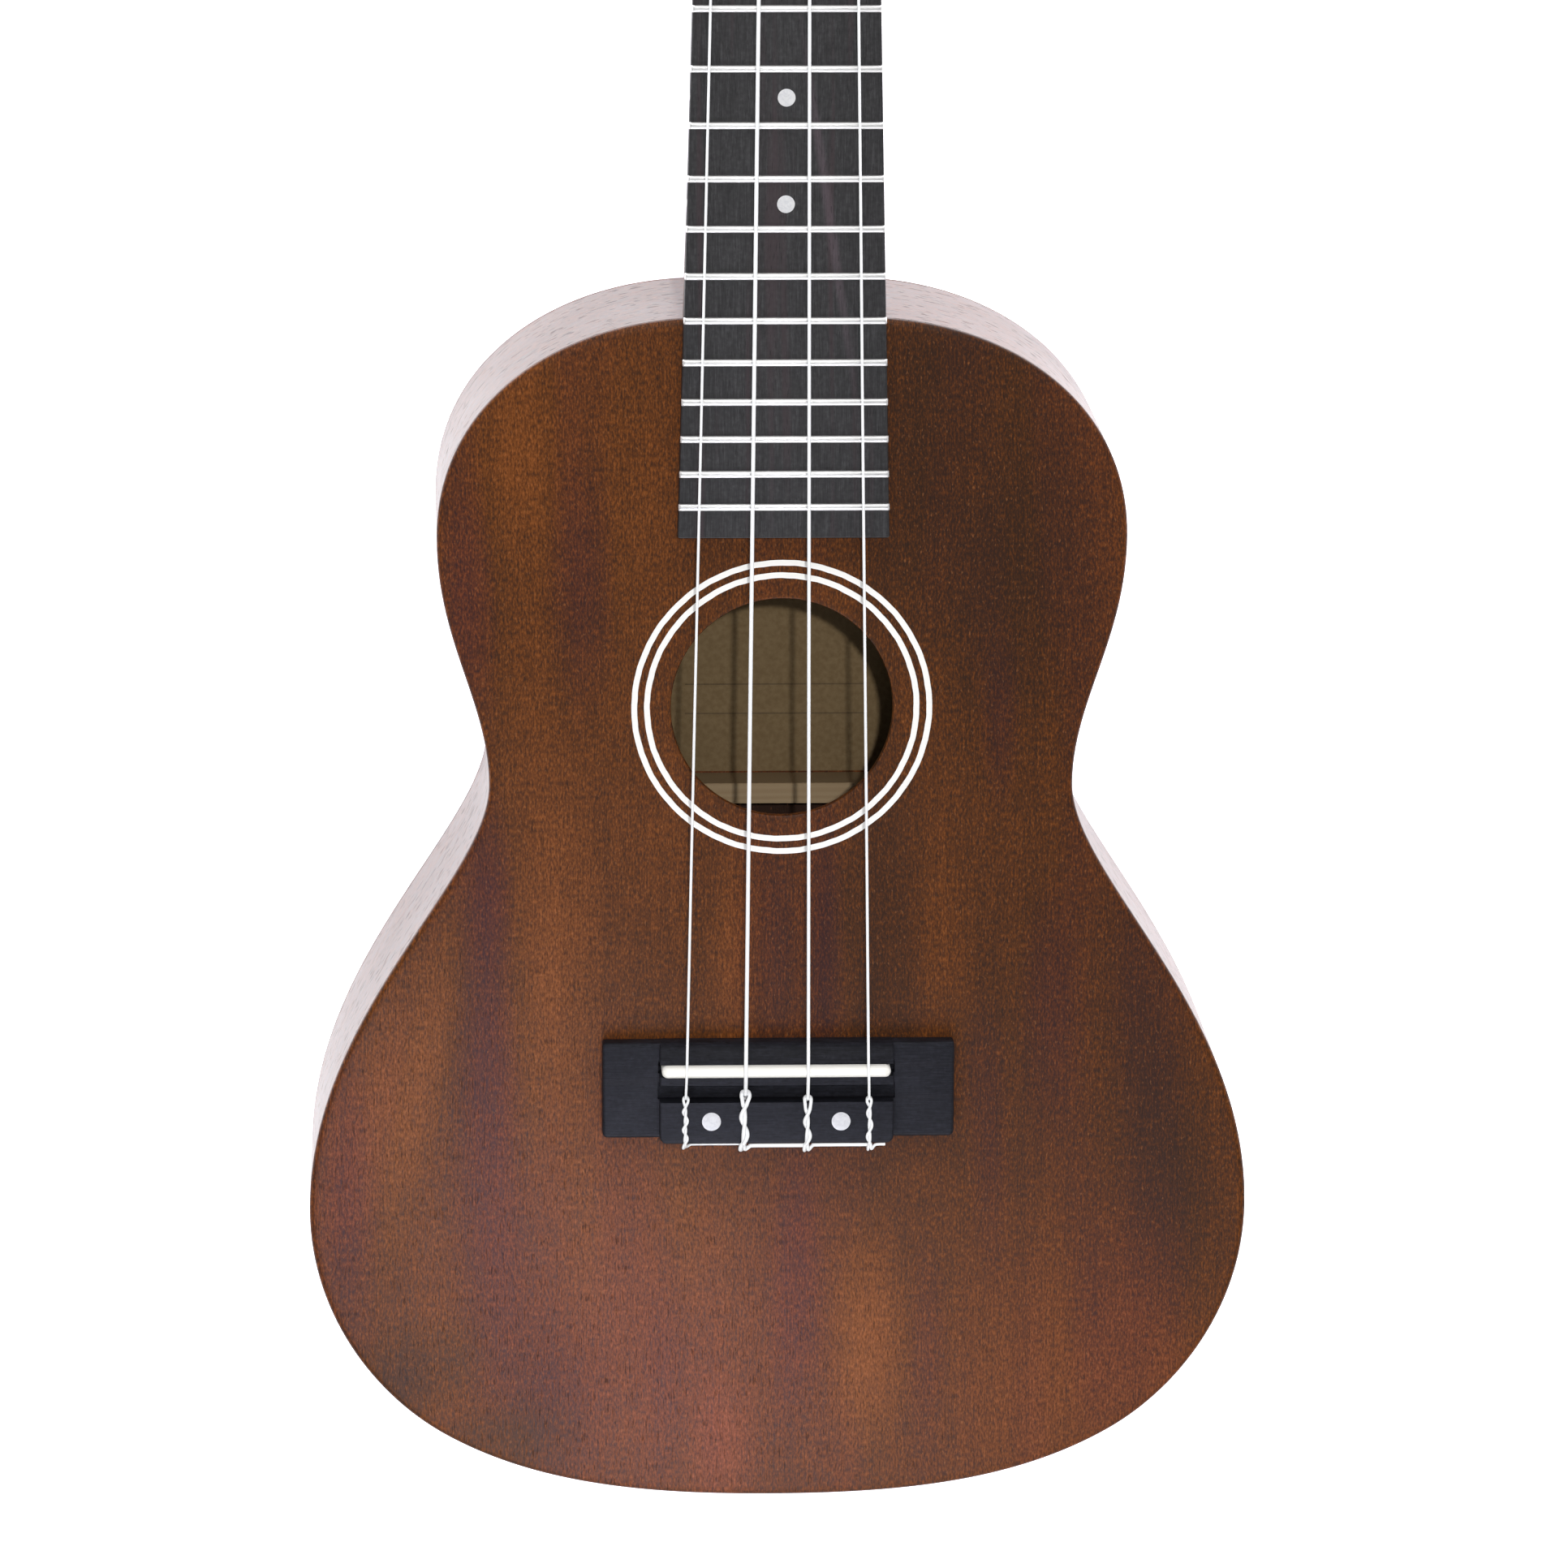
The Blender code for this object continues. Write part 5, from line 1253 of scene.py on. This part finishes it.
    wide, core = strand(True), strand(False)
    right, left = leg(1, wide[0][2]), leg(-1, core[0][2])
    ez, ey, ecx = TOP_Z + eye_z, y_eye, side_x(y_eye)
    h0 = eye[0][1]
    front = [(ecx + h0 * 0.72, ey - 0.14, ez + 0.02), (ecx, ey, ez), (ecx - h0 * 0.72, ey - 0.14, ez + 0.02)]
    path = wide[::-1] + smooth_path([wide[0]] + right[::-1] + front + left + [core[0]], 6)[1:-1] + core
    # the core strand drops into the rear of the tie hole; the wide strand turns off as the free end
    ex, last = sx + end_x, path[-1]
    off_first = path[0]
    down = smooth_path([last, (ex - 0.5 * r, BLOCK_REAR - 0.3, T_TOP + 0.95 * r), (ex - 0.8 * r, y_drop + 0.05, T_TOP - 0.15),
                        (ex * 0.5 + sx * 0.5, y_drop + 0.1, T_TOP - 1.4), (sx, y_drop + 0.5, TOP_Z + TIE_HOLE_Z + 0.7),
                        (sx, BLOCK_REAR - 0.1, TOP_Z + TIE_HOLE_Z)], 6)
    nxt = order[idx + 1][1] + TIES[order[idx + 1][0]][4] - 0.2 if idx < 3 else sx + 4.1
    ty, tz = BLOCK_REAR - r - 0.02, TOP_Z + free_z
    off = smooth_path([off_first, (ex + 0.9 * r, BLOCK_REAR - 0.15, T_TOP + 1.6 * r),
                       (ex + 1.6 * r, y_drop + 0.25, min(T_TOP + 0.1, tz + 0.5)), (ex + 3.2 * r + 0.3, ty - 0.15, tz + 0.05),
                       (ex + 3.2 * r + 1.4, ty, tz), (nxt - 1.2, ty, tz), (nxt, ty, tz)], 7)
    full = off[::-1] + path[1:] + down[1:]
    add(name + "_tie", tube(name + "_tie", full, r, 12), mat_nylon)


# ------------------------------------------------------------------ tuning machines
def at_post(sd, v):
    """Matrix from a machine's own frame (outward, along, up) to the row frame."""
    flip = Matrix.Diagonal((sd, 1, 1, 1))
    return HEAD_M @ Matrix.Translation((sd * POST_U * MM, v * MM, 0)) @ flip


def at_worm(sd, v):
    flip = Matrix.Diagonal((sd, 1, 1, 1))
    return HEAD_M @ Matrix.Translation((sd * POST_U * MM, (v - WORM_DIST) * MM, WORM_W * MM)) @ flip


def gear_mesh(name):
    pitch_r = GEAR_TEETH * MODULE / 2
    worm_r = WORM_DIST - pitch_r
    lean = LEAD / (2 * math.pi * worm_r)
    out_r, root_r = pitch_r + MODULE * 0.8, pitch_r - MODULE * 1.2
    step = 2 * math.pi / GEAR_TEETH
    prof = []
    for k in range(GEAR_TEETH):
        mid = -math.pi / 2 + (k + 0.5) * step
        for f, r in ((-0.36, root_r), (-0.24, root_r), (-0.17, root_r + 0.55), (-0.12, root_r + 1.1), (-0.09, out_r),
                     (0.09, out_r), (0.12, root_r + 1.1), (0.17, root_r + 0.55), (0.24, root_r), (0.36, root_r)):
            prof.append((mid + f * step, r))
    rings = []
    for w, d in ((-GEAR_T / 2, 0.25), (-GEAR_T / 2 + 0.2, 0.0), (0, 0), (GEAR_T / 2 - 0.2, 0.0), (GEAR_T / 2, 0.25)):
        turn = w * lean / pitch_r
        rings.append([((r - d) * math.cos(a + turn), (r - d) * math.sin(a + turn), w) for a, r in prof])
    return loft(name, rings, 30)


def worm_mesh(name, n=36):
    half = WORM_LEN / 2
    steps = int(WORM_LEN / LEAD * 20)
    xs = [-half + WORM_LEN * i / steps for i in range(steps + 1)]

    def radius(x, a):
        phase = (x / LEAD - (a - math.pi / 2) / (2 * math.pi)) % 1.0
        d = min(phase, 1 - phase)
        ridge = max(0.0, min(1.0, (0.145 - d) / 0.11))
        fade = max(0.0, min(1.0, (half - abs(x)) / 0.7))
        return WORM_ROOT + (WORM_OUT - WORM_ROOT) * ridge * fade

    def ring(x, f):
        return [(x, f(a) * math.cos(a), f(a) * math.sin(a)) for a in (2 * math.pi * i / n for i in range(n))]

    rings = [ring(-half - 3.4, lambda a: WORM_SHAFT_R - 0.5), ring(-half - 3.2, lambda a: WORM_SHAFT_R - 0.2),
             ring(-half - 2.9, lambda a: WORM_SHAFT_R), ring(-half - 0.02, lambda a: WORM_SHAFT_R)]
    rings += [ring(x, lambda a, x=x: radius(x, a)) for x in xs]
    rings += [ring(half + 0.02, lambda a: WORM_SHAFT_R), ring(BUTTON_START - 2.6, lambda a: WORM_SHAFT_R),
              ring(BUTTON_START - 2.4, lambda a: WORM_SHAFT_R + 0.7), ring(BUTTON_START - 1.7, lambda a: WORM_SHAFT_R + 0.9),
              ring(BUTTON_START - 1.0, lambda a: WORM_SHAFT_R + 0.7), ring(BUTTON_START - 0.8, lambda a: WORM_SHAFT_R),
              ring(BUTTON_START + 3.6, lambda a: WORM_SHAFT_R)]
    return loft(name, rings, 40)


def button_mesh(name, n=20):
    rings = []
    stations = ((0.02, 2.3, 2.3), (0.35, 2.65, 2.6), (1.6, 2.9, 2.7), (2.6, 4.2, 2.8), (4.2, 6.3, 3.1), (6.6, 7.6, 3.6),
                (8.8, 7.75, 3.8), (11.0, 6.9, 3.5), (12.6, 5.0, 2.8), (13.3, 3.0, 1.9), (BUTTON_L, 1.2, 0.9))
    for dx, hw, ht in stations:
        ring = []
        for i in range(n):
            a = 2 * math.pi * i / n
            c, s = math.cos(a), math.sin(a)
            ring.append((BUTTON_START + dx, hw * math.copysign(abs(c) ** 0.85, c), ht * math.copysign(abs(s) ** 0.85, s)))
        rings.append(ring)
    return smooth_surface(loft(name, rings, None), 2)


def screw_mesh(name, r, height, n=32):
    """Round screw head with a cross slot, head up along +Z from z = 0."""
    prof = [(r, -0.6), (r, height * 0.25), (r * 0.94, height * 0.55), (r * 0.75, height * 0.85), (r * 0.4, height),
            (0.05, height * 1.02)]
    head = turned(name, prof, n)
    w = max(0.18, r * 0.16)
    a = box_mesh("s1", (-r * 0.68, -w, height * 0.45), (r * 0.68, w, height * 2))
    b = box_mesh("s2", (-w, -r * 0.68, height * 0.45), (w, r * 0.68, height * 2))
    return cut(head, [a, b])


def plate_mesh(name):
    pts = []
    x0, x1, y0, y1, rr = -8.2, 8.2, -13.2, 7.4, 2.2
    for cx, cy, a0 in ((x1 - rr, y1 - rr, 0), (x0 + rr, y1 - rr, 90), (x0 + rr, y0 + rr, 180), (x1 - rr, y0 + rr, 270)):
        for i in range(9):
            a = math.radians(a0 + 90 * i / 8)
            pts.append((cx + rr * math.cos(a), cy + rr * math.sin(a)))
    top, low = -HEAD_T - 0.02, -HEAD_T - PLATE_GAP - PLATE_T
    base = rounded(prism(name, pts, low, top), 0.18, 2)
    ears = []
    for x in (-WORM_LEN / 2 - 0.5 - 1.4, WORM_LEN / 2 + 0.5):
        prof = [(-WORM_DIST + 3.1, low + 0.5), (-WORM_DIST + 2.95, WORM_W + 0.2)]
        prof += [(-WORM_DIST + 2.95 * math.cos(a), WORM_W + 2.95 * math.sin(a))
                 for a in (-math.pi * i / 14 for i in range(1, 14))]
        prof += [(-WORM_DIST - 2.95, WORM_W + 0.2), (-WORM_DIST - 3.1, low + 0.5)]
        ears.append(rounded(turn_to(prism("ear", prof, x, x + 1.4), X_ROWS), 0.15, 2))
    body = cut(base, ears, "UNION")
    bore = rod_mesh("bore", WORM_SHAFT_R + 0.08, -9, 9, 32)
    bore.transform(Matrix.Translation(Vector((0, -WORM_DIST, WORM_W)) * MM) @ Matrix.Rotation(math.pi / 2, 4, "Y"))
    eye = rod_mesh("eye", POST_R + 0.12, low - 2, top + 2, 40)
    return cut(body, [bore, eye])


def post_mesh(name):
    low = WORM_W - GEAR_T / 2
    prof = [(1.6, low - 0.15), (2.6, low - 0.1), (2.75, low + 0.1), (POST_R - 0.02, low + 0.2),
            (POST_R, POST_TOP - 8.0), (POST_R - 0.12, POST_TOP - 7.75), (WAIST_R + 0.1, POST_TOP - 7.2),
            (WAIST_R, POST_TOP - 6.8), (WAIST_R, POST_TOP - 3.9), (WAIST_R + 0.12, POST_TOP - 3.5),
            (POST_R - 0.1, POST_TOP - 2.75), (POST_R, POST_TOP - 2.5), (POST_R, POST_TOP - 0.9),
            (POST_R - 0.12, POST_TOP - 0.45), (POST_R - 0.5, POST_TOP - 0.12), (POST_R - 1.1, POST_TOP), (0.1, POST_TOP + 0.0)]
    post = turned(name, prof, 48)
    eye = rod_mesh("eye", 0.85, -5, 5, 24)
    eye.transform(Matrix.Translation((0, 0, (POST_TOP - 4.6) * MM)) @ Matrix.Rotation(math.pi / 2, 4, "Y"))
    return cut(post, [eye])


bush = [(POST_R + 0.08, VENEER_T - 3.0), (4.0, VENEER_T - 3.0), (4.0, VENEER_T - 0.02), (5.3, VENEER_T - 0.02),
        (5.3, VENEER_T + 0.5), (5.0, VENEER_T + 0.85), (4.2, VENEER_T + 1.2), (3.5, VENEER_T + 1.3), (POST_R + 0.08, VENEER_T + 1.15)]
plate_base, gear_base, worm_base = plate_mesh("plate"), gear_mesh("gear"), worm_mesh("worm")
button_base, post_base = button_mesh("button"), post_mesh("post")
plate_screw, gear_screw = screw_mesh("plate_screw", 1.45, 0.8), screw_mesh("gear_screw", 1.9, 0.7)
down = Matrix.Rotation(math.pi, 4, "X")
plate_low = -HEAD_T - PLATE_GAP - PLATE_T
for tag, sd, v in (("bass_lower", -1, POST_V[0]), ("bass_upper", -1, POST_V[1]),
                   ("treble_lower", 1, POST_V[0]), ("treble_upper", 1, POST_V[1])):
    mp, mw = at_post(sd, v), at_worm(sd, v)
    add("tuner_plate_fine_" + tag, plate_base.copy(), mat_nickel, matrix=mp, replaces=["tuner_plate_" + tag])
    add("tuner_bushing_" + tag, turned_ring("bush", bush), mat_nickel, matrix=mp)
    for k, (sx_, sy_) in enumerate(((-6.1, 5.2), (6.1, 5.2), (0.0, -11.9))):
        m = mp @ Matrix.Translation(Vector((sx_, sy_, plate_low)) * MM) @ down @ Matrix.Rotation(0.4 + 1.1 * k, 4, "Z")
        add("plate_screw_%d_%s" % (k + 1, tag), plate_screw.copy(), mat_steel, matrix=m)
    add("tuner_worm_fine_" + tag, worm_base.copy(), mat_nickel, "worm_" + tag, mw, ["tuner_worm_" + tag])
    add("tuner_button_fine_" + tag, button_base.copy(), mat_button, "worm_" + tag, mw, ["tuner_button_" + tag])
    m = mw @ Matrix.Translation(Vector((BUTTON_START + BUTTON_L - 0.12, 0, 0)) * MM) @ Matrix.Rotation(math.pi / 2, 4, "Y")
    small = screw_mesh("button_screw", 1.25, 0.5)
    add("button_screw_" + tag, small, mat_steel, "worm_" + tag, m)
    add("tuner_post_fine_" + tag, post_base.copy(), mat_nickel, "post_" + tag, mp, ["tuner_post_" + tag])
    mg = mp @ Matrix.Translation((0, 0, WORM_W * MM))
    add("tuner_gear_" + tag, gear_base.copy(), mat_brass, "post_" + tag, mg)
    m = mp @ Matrix.Translation(Vector((0, 0, WORM_W - GEAR_T / 2 - 0.1)) * MM) @ down
    add("gear_screw_" + tag, gear_screw.copy(), mat_steel, "post_" + tag, m)

# ------------------------------------------------------------------ stage and light
floor_m = Mat("floor")
p = floor_m.coords()
fn = floor_m.noise(p, 1 / 40, 3.0)
floor_m.set(color=floor_m.mix(fn, (0.93, 0.93, 0.93), (0.90, 0.90, 0.90)), rough=0.9, spec=0.1)
floor_m.bsdf.inputs["Emission Color"].default_value = (0.925, 0.92, 1.0, 1.0)
floor_m.bsdf.inputs["Emission Strength"].default_value = 1.35
bm = bmesh.new()
bmesh.ops.create_grid(bm, x_segments=2, y_segments=2, size=6.0)
for v in bm.verts:
    v.co.z = -0.0002
floor = bpy.data.objects.new("floor", from_bm("floor", bm, recalc=False))
bpy.context.scene.collection.objects.link(floor)
floor.data.materials.append(floor_m.mat)


def area(name, where, target, size, watts, color=(1, 1, 1), shape="DISK"):
    data = bpy.data.lights.new(name, "AREA")
    data.shape = shape
    data.size = size
    data.energy = watts
    data.color = color
    ob = bpy.data.objects.new(name, data)
    bpy.context.scene.collection.objects.link(ob)
    ob.location = where
    ob.rotation_euler = (Vector(target) - Vector(where)).to_track_quat("-Z", "Y").to_euler()
    ob.visible_camera = False
    return ob


def rays(ob, diffuse=True, glossy=True):
    ob.visible_diffuse, ob.visible_glossy = diffuse, glossy
    return ob


area("key", (0.02, 0.537, 1.80), (0, 0.03, 0.05), 0.045, 6.0)
rays(area("key_fill", (0.02, 0.537, 1.80), (0, 0.03, 0.05), 0.045, 10.0), glossy=False)
rays(area("soft_top", (0.0, 0.1, 1.9), (0, 0.1, 0.05), 0.8, 4.0), glossy=False)
for nm, at, size, watts in (("gloss_left", (-0.044, -0.146, 0.257), 0.15, 0.30), ("gloss_rim", (-0.090, -0.066, 0.257), 0.09, 0.12),
                            ("gloss_low", (-0.010, -0.174, 0.257), 0.13, 0.17), ("gloss_right", (0.086, -0.146, 0.257), 0.17, 0.12)):
    rays(area(nm, at, (at[0], at[1] + 0.02, 0.05), size, watts, (0.90, 0.92, 1.10)), diffuse=False)
area("soft_front", (0.0, -1.9, 1.5), (0, 0.1, 0.05), 1.6, 18.0)
area("soft_head", (0.0, 2.2, 1.4), (0, 0.1, 0.05), 1.6, 20.0)

world = bpy.data.worlds.new("studio")
bpy.context.scene.world = world
world.use_nodes = True
wn = world.node_tree
wn.nodes.clear()
out = wn.nodes.new("ShaderNodeOutputWorld")
bg = wn.nodes.new("ShaderNodeBackground")
geo = wn.nodes.new("ShaderNodeTexCoord")
sep = wn.nodes.new("ShaderNodeSeparateXYZ")
rampn = wn.nodes.new("ShaderNodeValToRGB")
wn.links.new(geo.outputs["Generated"], sep.inputs[0])
wn.links.new(sep.outputs[2], rampn.inputs[0])
rampn.color_ramp.elements[0].position = 0.0
rampn.color_ramp.elements[0].color = (1.0, 1.0, 1.0, 1.0)
rampn.color_ramp.elements[1].position = 0.75
rampn.color_ramp.elements[1].color = (0.11, 0.11, 0.113, 1.0)
wn.links.new(rampn.outputs[0], bg.inputs[0])
bg.inputs[1].default_value = 1.0
wn.links.new(bg.outputs[0], out.inputs[0])

bpy.context.scene.view_settings.view_transform = "Standard"
bpy.context.scene.view_settings.look = "None"
